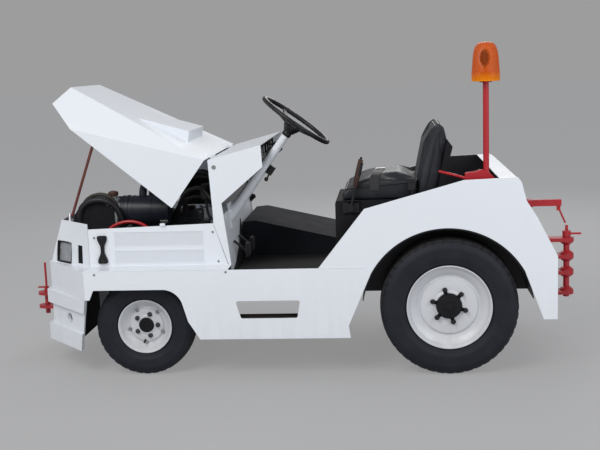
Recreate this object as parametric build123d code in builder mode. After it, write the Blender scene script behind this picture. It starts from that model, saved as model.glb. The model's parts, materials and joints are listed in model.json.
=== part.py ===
"""Airport baggage tug: a low four-wheeled tow tractor with its hood propped open.

+X is forward, +Y is the driver's left, +Z is up and z = 0 is the ground.
All sizes are in millimetres. The origin is on the ground, midway between
the front tow hook's tip and the rear coupler's tip.
"""
import os
from math import atan2, cos, degrees, radians, sin

from build123d import *

os.makedirs("parts", exist_ok=True)

# Driving sizes of the whole machine
wheelbase = 1510
half_width = 620          # outside of the side plates
sill_z = 546
frame_bottom_z = 200
fender_z = 965
plate_t = 8
sheet_t = 5
gap = 0.3                 # seat clearance between pieces that rest on each other

front_axle_x = wheelbase / 2
rear_axle_x = -wheelbase / 2
floor_z = sill_z - 46
deck_z = floor_z + 285

# Wheels
front_tyre_r = 248
front_tyre_w = 148
front_rim_r = 134
front_wheel_y = half_width - plate_t - 58 - front_tyre_w / 2
rear_tyre_r = 335
rear_tyre_w = 188
rear_rim_r = 204
rear_wheel_y = half_width - plate_t - 15 - rear_tyre_w / 2
kingpin_y = front_wheel_y - 86
kingpin_r = 13
steer_arm = 120           # kingpin to tie rod eye, along X
tie_pin_r = 7

# Side plates: arches, step opening and fender line
front_arch_top_z = sill_z - 94
rear_arch_r = rear_tyre_r + 83
rear_arch_x = rear_axle_x + 10
rear_arch_z = rear_tyre_r - 23
rear_foot_z = 281         # lower edge of the plates behind the rear wheel
step_z = (frame_bottom_z + 103, frame_bottom_z + 190)
step_tread_d = 90

# Front end
nose_side_x = front_axle_x + 275        # where the corner faces meet the sides
nose_front_x = nose_side_x + 270
bay_half_width = half_width - 125       # engine side panels, hood and cowl
nose_corner_y = bay_half_width - 195    # where the front face meets the corner faces
nose_bottom_z = sill_z - 146
nose_lean = 68            # how far the front panel leans back at its top
bay_top_z = sill_z + 218
lamp_z = sill_z + 58
lamp_size = (122, 104)
lamp_share = 0.7
lamp_depth = 26
slot_size = (40, 92)
slot_share = 0.25
grille_bars = 7
grille_step = 25
bumper_out = 22
bumper_half = half_width - bumper_out
bumper_depth = 44
bumper_web_t = 20
bumper_cut = 50           # how far the bumper's rear ends slant forward at the bottom
bumper_z = (nose_bottom_z - 268, nose_bottom_z - 178, nose_bottom_z - 70, nose_bottom_z)
tie_down_r = 27

# Cowl and cockpit
cowl_front_x = front_axle_x - 347
cowl_rear_x = cowl_front_x - 264
cowl_top_z = (bay_top_z + 306, bay_top_z + 374)
dash_inset = 48
toe_foot_x = cowl_front_x - 102   # rear face of the toe board at the floor and at its top
toe_top_x = toe_foot_x + 50
toe_top_z = floor_z + 366
cover_top_z = floor_z + 184       # raised cover at the toe board
cab_wall_x = rear_axle_x + 425
step_share = 0.495        # length of the step opening as a share of the floor's
step_x = (toe_foot_x - 26 - step_share * (toe_foot_x - cab_wall_x), toe_foot_x - 26)

# Hood, drawn closed and then turned up about its hinge
hood_open_angle = 40
hood_t = 5
hinge_x = cowl_front_x + 7
hinge_z = cowl_top_z[0] + 4
hinge_pin_r = 4
hinge_y = bay_half_width - 195
barrel_r = 7
hood_front_x = nose_front_x - 84
hood_nose_half = bay_half_width - 228           # half width of the top at its front
hood_rear_top = (hinge_x + 5, hinge_z - 8)      # X and Z of the top sheet's rear edge
hood_front_top = (hood_front_x - 12, bay_top_z + 128)
scoop_x = (hinge_x + 440, hinge_x + 180)        # foot and step of the wedge on top
scoop_half = hood_nose_half - 57
scoop_h = 56
prop_foot = (nose_side_x + 130, nose_corner_y + 12, bay_top_z + 20)
prop_tip = (nose_side_x - 50, bay_half_width - 12.3, bay_top_z + 391)
prop_r = 7

# Steering
wheel_rim_r = 203
wheel_grip_r = 12.5
steer_y = half_width - 350
steer_centre = (toe_foot_x - 321, floor_z + 741)   # centre of the steering wheel, X and Z
column_lean = 36.5        # degrees from the vertical
column_r = (18, 30)       # at the wheel and at the toe board
shaft_r = 10
hub_depth = 33            # steering wheel's hub below the rim's plane

# Seat
seat_y = (40, half_width - 105)
seat_box_x = (rear_axle_x + 115, rear_axle_x + 542)
seat_box_z = deck_z + 73
cushion_h = 92
back_lean = 12
back_t = 84
back_h = 345

# Rear end
rear_x = rear_axle_x - 507
deck_edge_x = rear_axle_x - 235
coupler_x = rear_x - 143          # axis of the drop pin
coupler_plate_z = (265, 374, 460, 549)
coupler_plate_t = 20
coupler_half = 38
coupler_pin_r = 16
coupler_pin_z = coupler_plate_z[0] - 15   # lower end of the drop pin
coupler_seat_z = coupler_plate_z[-1] + coupler_plate_t + gap
pin_handle = 75           # from the drop pin's axis to its handle's tip
release_z = fender_z - 210
release_x = rear_x + 50   # pivot of the lift lever

# Frame, engine and running gear
rail_y = half_width - 380
rail_w = 50
rail_z = (floor_z - 100, floor_z - sheet_t)
rail_rear_x = rear_x + 4 + sheet_t
rail_inner = rail_y - rail_w / 2
engine_x = (front_axle_x - 235, front_axle_x + 175)
engine_half = rail_inner - 65
head_half = engine_half * 0.7
cover_half = engine_half * 0.46
gearbox_half = engine_half * 0.8
engine_z = (rail_z[0] - 70, rail_z[0] + 290)
head_z = engine_z[1] + 70
cleaner_y = engine_half + 65
cleaner_z = bay_top_z + 31
cleaner_r = 74
radiator_x = nose_side_x + 60
radiator_half = bay_half_width - 245
hook_reach = 158          # front hook's tip ahead of the bumper
hook_bolt_x = 112

# Beacon
beacon_x = rear_axle_x - 180
beacon_y = half_width - 60
pole_r = 14
beacon_r = 66
beacon_top_z = 1600
beacon_bottom_z = beacon_top_z - 188
lens_t = 4


def side_sketch(y):
    """Plane that draws X to the right and Z up, standing at this y and facing -Y."""
    return Plane.XZ.offset(-y)


def save(builder, name):
    builder.part.label = name
    export_step(builder.part, f"parts/{name}.step")


def rear_outline():
    """Points of the fender and the tail, from the sill's rear end down to the tail's foot."""
    return [
        (rear_axle_x + 627, sill_z),
        (rear_axle_x + 400, fender_z - 135),
        (rear_axle_x - 71, fender_z - 8),
        (rear_axle_x - 321, fender_z),
        (rear_axle_x - 339, fender_z - 24),
        (rear_axle_x - 362, fender_z - 113),
        (rear_axle_x - 411, fender_z - 190),
        (rear_x, fender_z - 378),
        (rear_x, rear_foot_z),
    ]


def side_plate(side):
    """Sill, fender and tail in one plate, with both wheel arches and the step opening."""
    arch_side = rear_arch_r * 0.87
    arch_low = rear_arch_z + rear_arch_r * 0.493
    front_rear_x = front_axle_x - 178
    with BuildPart() as plate:
        with BuildSketch(side_sketch(half_width)):
            with BuildLine():
                Polyline(
                    (nose_side_x, nose_bottom_z + 3),
                    (nose_side_x, sill_z),
                    *rear_outline(),
                    (rear_arch_x - rear_arch_r - 34, rear_foot_z),
                    (rear_arch_x - arch_side, arch_low),
                )
                ThreePointArc(
                    (rear_arch_x - arch_side, arch_low),
                    (rear_arch_x, rear_arch_z + rear_arch_r),
                    (rear_arch_x + arch_side, arch_low),
                )
                Polyline(
                    (rear_arch_x + arch_side, arch_low),
                    (rear_arch_x + rear_arch_r + 58, frame_bottom_z + 62),
                    (rear_arch_x + rear_arch_r + 50, frame_bottom_z),
                    (front_axle_x - 292, frame_bottom_z),
                    (front_axle_x - 236, front_arch_top_z - 161),
                    (front_axle_x - 211, front_arch_top_z - 72),
                )
                ThreePointArc(
                    (front_axle_x - 211, front_arch_top_z - 72),
                    (front_rear_x, front_arch_top_z - 23),
                    (front_axle_x - 112, front_arch_top_z),
                )
                Polyline(
                    (front_axle_x - 112, front_arch_top_z),
                    (front_axle_x + 230, front_arch_top_z),
                    (front_axle_x + 252, nose_bottom_z + 3),
                    (nose_side_x, nose_bottom_z + 3),
                )
            make_face()
        extrude(amount=plate_t)
        with BuildSketch(side_sketch(half_width + 1)):
            with BuildLine():
                Polyline(
                    (step_x[0], step_z[1]), (step_x[1], step_z[1]),
                    (step_x[1] - 24, step_z[0]), (step_x[0] + 15, step_z[0]),
                    close=True,
                )
            step = make_face()
            fillet(step.vertices(), radius=10)
        extrude(amount=plate_t + 2, mode=Mode.SUBTRACT)
        if side == "right":
            mirror(about=Plane.XZ, mode=Mode.REPLACE)
    save(plate, f"side_plate_{side}")


def face_xz(points, y):
    """Flat face drawn in X and Z, standing at this y."""
    with BuildSketch(side_sketch(y)) as drawn:
        with BuildLine():
            Polyline(*points, close=True)
        make_face()
    return drawn.sketch


def face_xy(points, z):
    """Flat face drawn in X and Y, lying at this z."""
    with BuildSketch(Plane.XY.offset(z)) as drawn:
        with BuildLine():
            Polyline(*points, close=True)
        make_face()
    return drawn.sketch


def prism(points, y, mode=Mode.ADD):
    """Adds a side outline carried from the low to the high value of y."""
    extrude(face_xz(points, y[1]), amount=y[1] - y[0], mode=mode)


def block(x, y, z, mode=Mode.ADD):
    """Adds a box between pairs of limits."""
    centre = ((x[0] + x[1]) / 2, (y[0] + y[1]) / 2, (z[0] + z[1]) / 2)
    with Locations(centre):
        Box(x[1] - x[0], y[1] - y[0], z[1] - z[0], mode=mode)


def rod(start, end, radius, mode=Mode.ADD):
    """Adds a round bar from one point to another."""
    along = Vector(*end) - Vector(*start)
    with BuildSketch(Plane(origin=start, z_dir=along)) as circle:
        Circle(radius)
    extrude(circle.sketch, amount=along.length, mode=mode)


def chassis_frame():
    """Two rails with the outriggers that carry the side plates, and the cross members between them."""
    inner = rail_inner
    outer = rail_y + rail_w / 2
    reach = half_width - plate_t
    with BuildPart() as frame:
        for side in (-1, 1):
            low, high = sorted((side * inner, side * outer))
            block((rail_rear_x, nose_front_x - 38), (low, high), rail_z)
            for x in (cab_wall_x + 98, front_axle_x - 413):
                low, high = sorted((side * outer, side * reach))
                block((x, x + 40), (low, high), (rail_z[0], rail_z[1]))
    save(frame, "chassis_frame")
    with BuildPart() as members:
        for x in (rail_rear_x, rear_axle_x + 325, front_axle_x - 635, nose_front_x - 78):
            block((x, x + 40), (gap - inner, inner - gap), (rail_z[0] + 8, rail_z[1] - 8))
    save(members, "cross_members")


def corner_outline(out, half):
    """Plan of the front end: side, corner face, front face and back round."""
    front = nose_front_x + out
    corner = nose_corner_y + out * 0.4
    return [(nose_side_x, half + out), (front, corner), (front, -corner), (nose_side_x, -half - out)]


def plan_ring(out, z0, z1, depth, half):
    """Adds a band of the front end, open at the back, this deep."""
    extrude(face_xy(corner_outline(out, half), z0), amount=z1 - z0)
    inner = corner_outline(out - depth, half)
    inner[0] = (nose_side_x - 1, inner[0][1])
    inner[3] = (nose_side_x - 1, inner[3][1])
    extrude(face_xy(inner, z0), amount=z1 - z0, mode=Mode.SUBTRACT)


def nose_shell(inset):
    """Solid of the leaning front panel, drawn in by this much."""
    with BuildPart() as shell:
        for z, lean, half in (
            (sill_z - 1, 0, bay_half_width),
            (bay_top_z, nose_lean, bay_half_width),
        ):
            with BuildSketch(Plane.XY.offset(z)):
                with BuildLine():
                    Polyline(
                        (nose_side_x, half - inset),
                        (nose_front_x - 12 - lean - inset, nose_corner_y + 8 - inset * 0.4),
                        (nose_front_x - 12 - lean - inset, -nose_corner_y - 8 + inset * 0.4),
                        (nose_side_x, -half + inset),
                        close=True,
                    )
                make_face()
        loft(ruled=True)
    return shell.part


def corner_place(share, side, depth=0):
    """Place on a corner face of the front panel, this share of the way to the front."""
    lean = nose_lean * (lamp_z - sill_z) / (bay_top_z - sill_z)
    run = Vector(nose_front_x - 12 - lean - nose_side_x, nose_corner_y + 8 - bay_half_width)
    angle = degrees(atan2(-run.Y, run.X))
    out = Vector(-run.Y, run.X).normalized()
    x = nose_side_x + run.X * share - out.X * depth
    y = bay_half_width + run.Y * share - out.Y * depth
    return Location((x, side * y, lamp_z), (0, 0, side * (90 - angle)))


def front_panel():
    """Leaning nose panel with grille slots, lamp openings and its lower apron."""
    with BuildPart() as apron:
        plan_ring(0, nose_bottom_z + gap, sill_z, sheet_t, half_width)
        extrude(face_xy(corner_outline(0, half_width), sill_z - sheet_t), amount=sheet_t)
        inside = [
            (nose_side_x - 1, bay_half_width - sheet_t), (nose_front_x - 12 - sheet_t, nose_corner_y),
            (nose_front_x - 12 - sheet_t, -nose_corner_y), (nose_side_x - 1, -bay_half_width + sheet_t),
        ]
        extrude(face_xy(inside, sill_z - sheet_t - 1), amount=sheet_t + 2, mode=Mode.SUBTRACT)
    with BuildPart() as panel:
        add(apron.part)
        add(nose_shell(0))
        add(nose_shell(sheet_t), mode=Mode.SUBTRACT)
        for side in (-1, 1):
            for share, width, height in ((lamp_share, lamp_size[0], lamp_size[1]), (slot_share, slot_size[0], slot_size[1])):
                with Locations(corner_place(share, side)):
                    Box(90, width + 2 * gap, height + 2 * gap, mode=Mode.SUBTRACT)
        for level in range(grille_bars):
            z = sill_z + 29 + level * grille_step
            half = nose_corner_y - 110
            block((nose_front_x - 150, nose_front_x + 20), (-half, half), (z, z + 9), mode=Mode.SUBTRACT)
        prop_ear()
    save(panel, "front_panel")


def prop_ear():
    """Shelf and bored ear inside the left corner face, where the hood's stay turns."""
    x, y, z = prop_foot
    low, high = bay_top_z - 8, bay_top_z - 3
    slope = (bay_half_width - sheet_t - nose_corner_y - 6) / (nose_side_x - nose_front_x + 17 + nose_lean)
    rear, front = x + 4, x + 20
    reach = [bay_half_width - sheet_t + 2.5 + (at - nose_side_x) * slope for at in (rear, front)]
    shelf = [(rear, y - 14), (rear, reach[0]), (front, reach[1]), (front, y - 14)]
    extrude(face_xy(shelf, low), amount=high - low)
    block((x + 8, x + 16), (y - 12, y + 12), (low, z))
    rod((x + 8, y, z), (x + 16, y, z), 12)
    rod((x, y, z), (x + 24, y, z), prop_r + 0.1, mode=Mode.SUBTRACT)


def tie_down_axis(side):
    """Two points on the tie-down hole's axis, square to the middle of the web's corner face."""
    start = Vector(nose_side_x, bumper_half)
    run = Vector(nose_front_x, nose_corner_y) - start
    out = Vector(-run.Y, run.X).normalized() * 60
    middle = start + run * 0.5
    z = (bumper_z[1] + bumper_z[2]) / 2
    return [(end.X, side * end.Y, z) for end in (middle - out, middle + out)]


def bumper():
    """Heavy cast bumper: two lips with a recessed web between them."""
    with BuildPart() as piece:
        low, web, lip, top = bumper_z
        plan_ring(bumper_out, lip, top, bumper_depth, bumper_half)
        plan_ring(0, web, lip, bumper_web_t, bumper_half)
        plan_ring(bumper_out, low, web, bumper_depth, bumper_half)
        for side in (-1, 1):
            rod(*tie_down_axis(side), tie_down_r, mode=Mode.SUBTRACT)
        ends = [
            (nose_side_x - 1, top + 1), (nose_side_x + 2, top + 1),
            (nose_side_x + bumper_cut, low - 1), (nose_side_x - 1, low - 1),
        ]
        prism(ends, (-half_width - 1, half_width + 1), mode=Mode.SUBTRACT)
    save(piece, "bumper")


def engine_panels():
    """Side panels of the engine bay, each with a foot flange and two mesh bands."""
    with BuildPart() as panels:
        for side in (-1, 1):
            y = sorted((side * bay_half_width, side * (bay_half_width - sheet_t)))
            outline = [
                (nose_side_x - 1, sill_z + gap), (nose_side_x - 1, bay_top_z - 26),
                (cowl_front_x - 14, bay_top_z - 7), (cowl_front_x - 81, sill_z + gap),
            ]
            prism(outline, y)
        for side in (-1, 1):
            foot = sorted((side * (bay_half_width - sheet_t), side * half_width))
            block((cowl_front_x - 98, nose_side_x - 1), foot, (sill_z + gap, sill_z + gap + sheet_t))
        for side in (-1, 1):
            face = sorted((side * (bay_half_width - 2), side * (bay_half_width + 1)))
            for z in ((sill_z + 16, sill_z + 82), (sill_z + 102, sill_z + 176)):
                block((cowl_front_x + 38, nose_side_x - 134), face, z, mode=Mode.SUBTRACT)
    save(panels, "engine_panels")


def cowl_outline(inset):
    """Side outline of the cowl, drawn in by this much."""
    return [
        (cowl_front_x, cowl_top_z[0]), (cowl_rear_x, cowl_top_z[1]),
        (cowl_rear_x - 6, cowl_top_z[1] - 107), (toe_foot_x + 42, toe_top_z - 10), (toe_foot_x + 6, floor_z + 52),
        (toe_foot_x + 20, floor_z + 52), (cowl_front_x - 15, bay_top_z - 6), (cowl_front_x - 15, bay_top_z + 36),
    ]


def cowl():
    """Two side plates and the top of the cowl, with the hood's hinge barrels."""
    side_points = cowl_outline(0)
    top = side_points[:2]
    with BuildPart() as piece:
        for side in (-1, 1):
            prism(side_points, sorted((side * bay_half_width, side * (bay_half_width - sheet_t))))
        roof = [top[0], top[1], (top[1][0] + 2, top[1][1] - sheet_t), (top[0][0], top[0][1] - sheet_t)]
        prism(roof, (-bay_half_width + 1, bay_half_width - 1))
        for side in (-1, 1):
            y = side * hinge_y
            block((cowl_front_x - 30, hinge_x), (y - 30, y + 30), (hinge_z - 8, hinge_z - 3))
            rod((hinge_x, y - 30, hinge_z), (hinge_x, y + 30, hinge_z), barrel_r)
            rod((hinge_x, y - 52, hinge_z), (hinge_x, y + 52, hinge_z), hinge_pin_r)
    save(piece, "cowl")


def dash():
    """Instrument panel set inside the cowl's rear edge, with gauges, switches and pull knobs."""
    inner = bay_half_width - sheet_t
    x = cowl_rear_x + dash_inset
    top = cowl_top_z[1] - 22
    foot = (toe_foot_x + 42 + dash_inset * 0.6, toe_top_z + 6)
    face = [(x, top), (x - 4, top - 70), foot]
    slope = (foot[0] - x + 4) / (top - 70 - foot[1])
    with BuildPart() as piece:
        prism([*face, (foot[0] + 8, foot[1] + 6), (x + 4, top - 66), (x + 8, top - 2)], (-inner, inner))
        for y, r in ((150, 30), (60, 30), (-60, 24), (-160, 20)):
            rod((x, y, top - 36), (x - 9, y, top - 35.5), r)
        # Pull knobs: Y, depth below the panel's crease, reach
        for y, drop, reach in ((415, -30, 34), (330, 30, 30), (200, 60, 40), (-330, -30, 34), (-240, 90, 30)):
            z = top - 70 - drop
            root = x - 4 + max(drop, 0) * slope
            rod((root + 4, y, z), (root - reach, y, z + 2), 5)
            rod((root - reach + 14, y, z + 1), (root - reach - 6, y, z + 2), 13)
    save(piece, "dash")


def toe_board_x(z):
    """X of the toe board's rear face at this height."""
    return toe_foot_x + (z - floor_z) * (toe_top_x - toe_foot_x) / (toe_top_z - floor_z)


def bulkhead():
    """Sloping toe board between engine bay and cockpit."""
    inner = bay_half_width - sheet_t
    outline = [(toe_top_x, toe_top_z), (toe_foot_x, floor_z), (toe_foot_x + 6, floor_z), (toe_top_x + 6, toe_top_z)]
    with BuildPart() as piece:
        prism(outline, (-inner, inner))
    save(piece, "bulkhead")


def floor():
    """Cockpit floor with a step tread hung behind each step opening."""
    reach = half_width - plate_t
    with BuildPart() as piece:
        block((cab_wall_x, toe_foot_x - 6), (-reach, reach), (floor_z - sheet_t, floor_z))
        for side in (-1, 1):
            y = sorted((side * (reach - step_tread_d), side * reach))
            block((step_x[0] + 5, step_x[1] - 14), y, (step_z[0] - 8, step_z[0]))
            inner = sorted((side * (reach - step_tread_d), side * (reach - step_tread_d + sheet_t)))
            for x in (step_x[0] + 5, step_x[1] - 44):
                block((x, x + 30), inner, (step_z[0] - 8, floor_z - sheet_t))
    save(piece, "floor")


def gearbox_cover():
    """Raised cover over the drive line on the passenger's side of the cockpit."""
    reach = half_width - plate_t
    top = cover_top_z
    ahead = toe_foot_x - 56
    outline = [
        (toe_foot_x - 10, floor_z), (toe_board_x(top) - 13, top), (ahead, top + 6),
        (cab_wall_x, floor_z + 56), (cab_wall_x, floor_z),
    ]
    with BuildPart() as piece:
        prism(outline, (-reach, -10))
        inner = [
            (toe_foot_x - 16, floor_z), (toe_board_x(top) - 23, top - 10), (ahead, top - 4),
            (cab_wall_x, floor_z + 47), (cab_wall_x, floor_z),
        ]
        prism(inner, (-reach + sheet_t, -10 - sheet_t), mode=Mode.SUBTRACT)
    save(piece, "gearbox_cover")


def rear_deck():
    """Cab wall and rear deck between the fenders, bent from one sheet."""
    reach = half_width - plate_t
    with BuildPart() as piece:
        block((cab_wall_x - sheet_t, cab_wall_x), (-reach, reach), (floor_z - sheet_t, deck_z))
        block((rear_axle_x - 385, cab_wall_x), (-reach, reach), (deck_z - sheet_t, deck_z))
    save(piece, "rear_deck")


def rear_panel():
    """Tail sheet that follows the side plates round to the narrow top deck."""
    reach = half_width - plate_t
    t = sheet_t
    outer = [
        (deck_edge_x, fender_z - 2), (rear_axle_x - 319, fender_z - 2), (rear_axle_x - 335, fender_z - 25),
        (rear_axle_x - 357, fender_z - 115), (rear_axle_x - 406, fender_z - 192),
        (rear_x + 4, fender_z - 380), (rear_x + 4, rear_foot_z + 49),
    ]
    inner = [
        (rear_x + 4 + t, rear_foot_z + 49), (rear_x + 4 + t, fender_z - 381), (rear_axle_x - 401, fender_z - 194),
        (rear_axle_x - 352, fender_z - 117), (rear_axle_x - 330, fender_z - 28),
        (rear_axle_x - 316, fender_z - 2 - t), (deck_edge_x, fender_z - 2 - t),
    ]
    with BuildPart() as piece:
        prism([*outer, *inner], (-reach, reach))
    save(piece, "rear_panel")


def wheel_houses():
    """Curved covers over the rear wheels with their inner walls."""
    outer_r = rear_arch_r - 4
    centre = (rear_arch_x, rear_arch_z)
    house_y = half_width - 228
    with BuildPart() as piece:
        for side in (-1, 1):
            y = sorted((side * house_y, side * (half_width - plate_t)))
            wall = sorted((side * house_y, side * (house_y + sheet_t)))
            shells = ((outer_r, y, Mode.ADD), (outer_r - sheet_t, y, Mode.SUBTRACT), (outer_r, wall, Mode.ADD))
            for radius, span, mode in shells:
                with BuildSketch(side_sketch(span[1])) as disc:
                    with Locations(centre):
                        Circle(radius)
                    with Locations((centre[0], centre[1] - outer_r + 70)):
                        Rectangle(2 * outer_r + 20, 2 * outer_r, mode=Mode.SUBTRACT)
                extrude(disc.sketch, amount=span[1] - span[0], mode=mode)
    save(piece, "wheel_houses")


def seat():
    """Cushion, back rest and the box that carries them, with its shell behind the back."""
    low, high = seat_y
    front = seat_box_x[1] - 34
    back_foot = (seat_box_x[0] + 28, seat_box_z + gap)
    with BuildPart() as cushion:
        outline = [
            (back_foot[0] + 8, seat_box_z + gap), (front, seat_box_z + gap), (front, seat_box_z + 34),
            (front - 70, seat_box_z + cushion_h), (back_foot[0] - 6, seat_box_z + cushion_h + 24),
        ]
        prism(outline, (low + 6, high - 6))
        fillet(cushion.edges().filter_by(Axis.Y).group_by(Axis.Z)[-1], radius=20)
    save(cushion, "seat_cushion")
    lean = radians(back_lean)
    along = (-sin(lean), cos(lean))
    across = (-cos(lean), -sin(lean))

    def at(up, back):
        """Point this far up the back's front face and this far behind it."""
        return (back_foot[0] + up * along[0] + back * across[0], back_foot[1] + up * along[1] + back * across[1])

    with BuildPart() as back:
        outline = [
            at(8, 0), at(back_h, 0), at(back_h + 30, 30), at(back_h + 22, back_t - 14),
            at(back_h - 20, back_t), at(22, back_t),
        ]
        prism(outline, (low + 10, high - 10))
        fillet(back.edges().filter_by(Axis.Y).group_by(Axis.Z)[-1], radius=16)
    save(back, "seat_back")
    with BuildPart() as box:
        block(seat_box_x, seat_y, (deck_z + gap, seat_box_z))
        block((cab_wall_x + gap, seat_box_x[1]), seat_y, (floor_z, deck_z + 1))
        edges = box.edges().filter_by(Axis.Y).group_by(Axis.Z)[-1]
        fillet(edges.sort_by(Axis.X)[-1], radius=14)
        rest = back_t + gap
        shell = [at(60, rest), at(back_h - 40, rest), at(back_h - 70, back_t + 34), at(60, back_t + 26)]
        prism(shell, (low + 40, high - 40))
        strap = [
            at(64, rest), at(64, back_t + 20), (at(0, back_t + 20)[0], seat_box_z - 60), (seat_box_x[0], seat_box_z - 60),
            (seat_box_x[0], seat_box_z - 46), (at(0, rest)[0], seat_box_z - 46),
        ]
        for y in ((low + 60, low + 90), (high - 90, high - 60)):
            prism(strap, y)
    save(box, "seat_box")


def beacon():
    """Red pole on the left fender, with the flashing beacon on top."""
    wall_y = half_width - plate_t
    with BuildPart() as mount:
        rod((beacon_x, beacon_y, deck_z), (beacon_x, beacon_y, beacon_bottom_z - gap), pole_r)
        block((beacon_x - 30, beacon_x + 84), (beacon_y + pole_r - 6, wall_y), (fender_z - 44, fender_z - 14))
        block((beacon_x - 30, beacon_x + 30), (beacon_y - 34, beacon_y + 34), (deck_z, deck_z + 8))
        rod((beacon_x + 80, wall_y - 18, fender_z - 28), (beacon_x + 190, wall_y - 30, fender_z - 6), 6)
        rod((beacon_x, beacon_y, beacon_bottom_z - 12), (beacon_x, beacon_y, beacon_bottom_z - gap), 40)
    save(mount, "beacon_mount")
    outer = [
        (0, beacon_bottom_z), (beacon_r, beacon_bottom_z), (beacon_r, beacon_bottom_z + 30),
        (beacon_r - 9, beacon_top_z - 36), (beacon_r - 16, beacon_top_z - 14), (beacon_r - 34, beacon_top_z),
        (0, beacon_top_z),
    ]
    inner = [
        (0, beacon_bottom_z + lens_t), (beacon_r - lens_t, beacon_bottom_z + lens_t),
        (beacon_r - lens_t, beacon_bottom_z + 30), (beacon_r - 9 - lens_t, beacon_top_z - 37),
        (beacon_r - 34 - lens_t, beacon_top_z - lens_t), (0, beacon_top_z - lens_t),
    ]
    with BuildPart() as lens:
        with BuildSketch(Plane.XZ):
            for points, mode in ((outer, Mode.ADD), (inner, Mode.SUBTRACT)):
                with BuildLine():
                    Polyline(*points, close=True)
                make_face(mode=mode)
        revolve(axis=Axis.Z)
    lens_part = Pos(beacon_x, beacon_y, 0) * lens.part
    lens_part.label = "beacon_lens"
    export_step(lens_part, "parts/beacon_lens.step")
    with BuildPart() as reflector:
        rod((beacon_x, beacon_y, beacon_bottom_z + lens_t), (beacon_x, beacon_y, beacon_bottom_z + 48), 34)
        rod((beacon_x, beacon_y, beacon_bottom_z + 48), (beacon_x, beacon_y, beacon_bottom_z + 150), 22)
    save(reflector, "beacon_reflector")


def pipe(points, radii, radius):
    """Adds a round pipe or hose along straight runs joined by tangent arcs."""
    with BuildLine(mode=Mode.PRIVATE) as route:
        FilletPolyline(*points, radius=radii)
    start = route.line @ 0
    with BuildSketch(Plane(origin=start, z_dir=route.line % 0)) as section:
        Circle(radius)
    sweep(section.sketch, path=route.line)


def engine():
    """Engine with its head, valve cover, gearbox, alternator and exhaust, standing between the rails."""
    x0, x1 = engine_x
    low, top = engine_z
    manifold_y = -engine_half - 34
    with BuildPart() as piece:
        block((x0, x1), (-engine_half, engine_half), (low, top))
        block((x0 + 30, x1 - 30), (-head_half, head_half), (top, head_z - 28))
        cover = [
            (x0 + 46, head_z - 28), (x0 + 52, head_z - 6), (x0 + 66, head_z),
            (x1 - 66, head_z), (x1 - 52, head_z - 6), (x1 - 46, head_z - 28),
        ]
        prism(cover, (-cover_half, cover_half))
        rod((x1 - 62, -20, head_z - 30), (x1 - 62, -20, head_z + 44), 13)
        rod((x1 - 62, -20, head_z + 44), (x1 - 62, -20, head_z + 62), 24)
        block((x0 - 150, x0), (-gearbox_half, gearbox_half), (low, top - 90))
        for x in (x0 + 60, x1 - 60):
            block((x - 20, x + 20), (-rail_inner, rail_inner), (rail_z[0] + 20, rail_z[0] + 60))
        for y, z, r in ((0, low + 90, 58), (0, top - 70, 46), (engine_half + 6, top - 40, 30)):
            rod((x1 - 2, y, z), (x1 + 26, y, z), r)
        rod((x1 - 130, engine_half + 6, top - 40), (x1, engine_half + 6, top - 40), 38)
        for share in (0.15, 0.38, 0.62, 0.85):
            x = x0 + (x1 - x0) * share
            rod((x, 1 - head_half, top + 26), (x, manifold_y, top + 26), 15)
        rod((x0 + 44, manifold_y, top + 26), (x1 - 44, manifold_y, top + 26), 22)
        muffler_x = x0 - 260
        muffler_z = low - 34
        rod((x0 + 60, manifold_y, top + 26), (x0 + 60, manifold_y, muffler_z), 18)
        rod((x0 + 60, manifold_y, muffler_z), (muffler_x, manifold_y, muffler_z), 18)
        rod((muffler_x - 240, manifold_y, muffler_z), (muffler_x, manifold_y, muffler_z), 42)
    save(piece, "engine")
    with BuildPart() as cleaner:
        ends = (x0 + 144, x1 - 14)
        rod((ends[0], cleaner_y, cleaner_z), (ends[1], cleaner_y, cleaner_z), cleaner_r)
        for x in (ends[0] + 30, ends[1] - 40):
            rod((x, cleaner_y, cleaner_z), (x + 10, cleaner_y, cleaner_z), cleaner_r + 4)
        block((ends[0] + 36, ends[1] - 36), (engine_half - 10, engine_half + 40), (top + gap, top + 50))
        x = ends[1] - 110
        elbow = [
            (x, cleaner_y, cleaner_z + 40), (x, cleaner_y, cleaner_z + 116),
            (x, 0, cleaner_z + 116), (x, 0, head_z + gap),
        ]
        pipe(elbow, 44, 20)
    save(cleaner, "air_cleaner")


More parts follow.
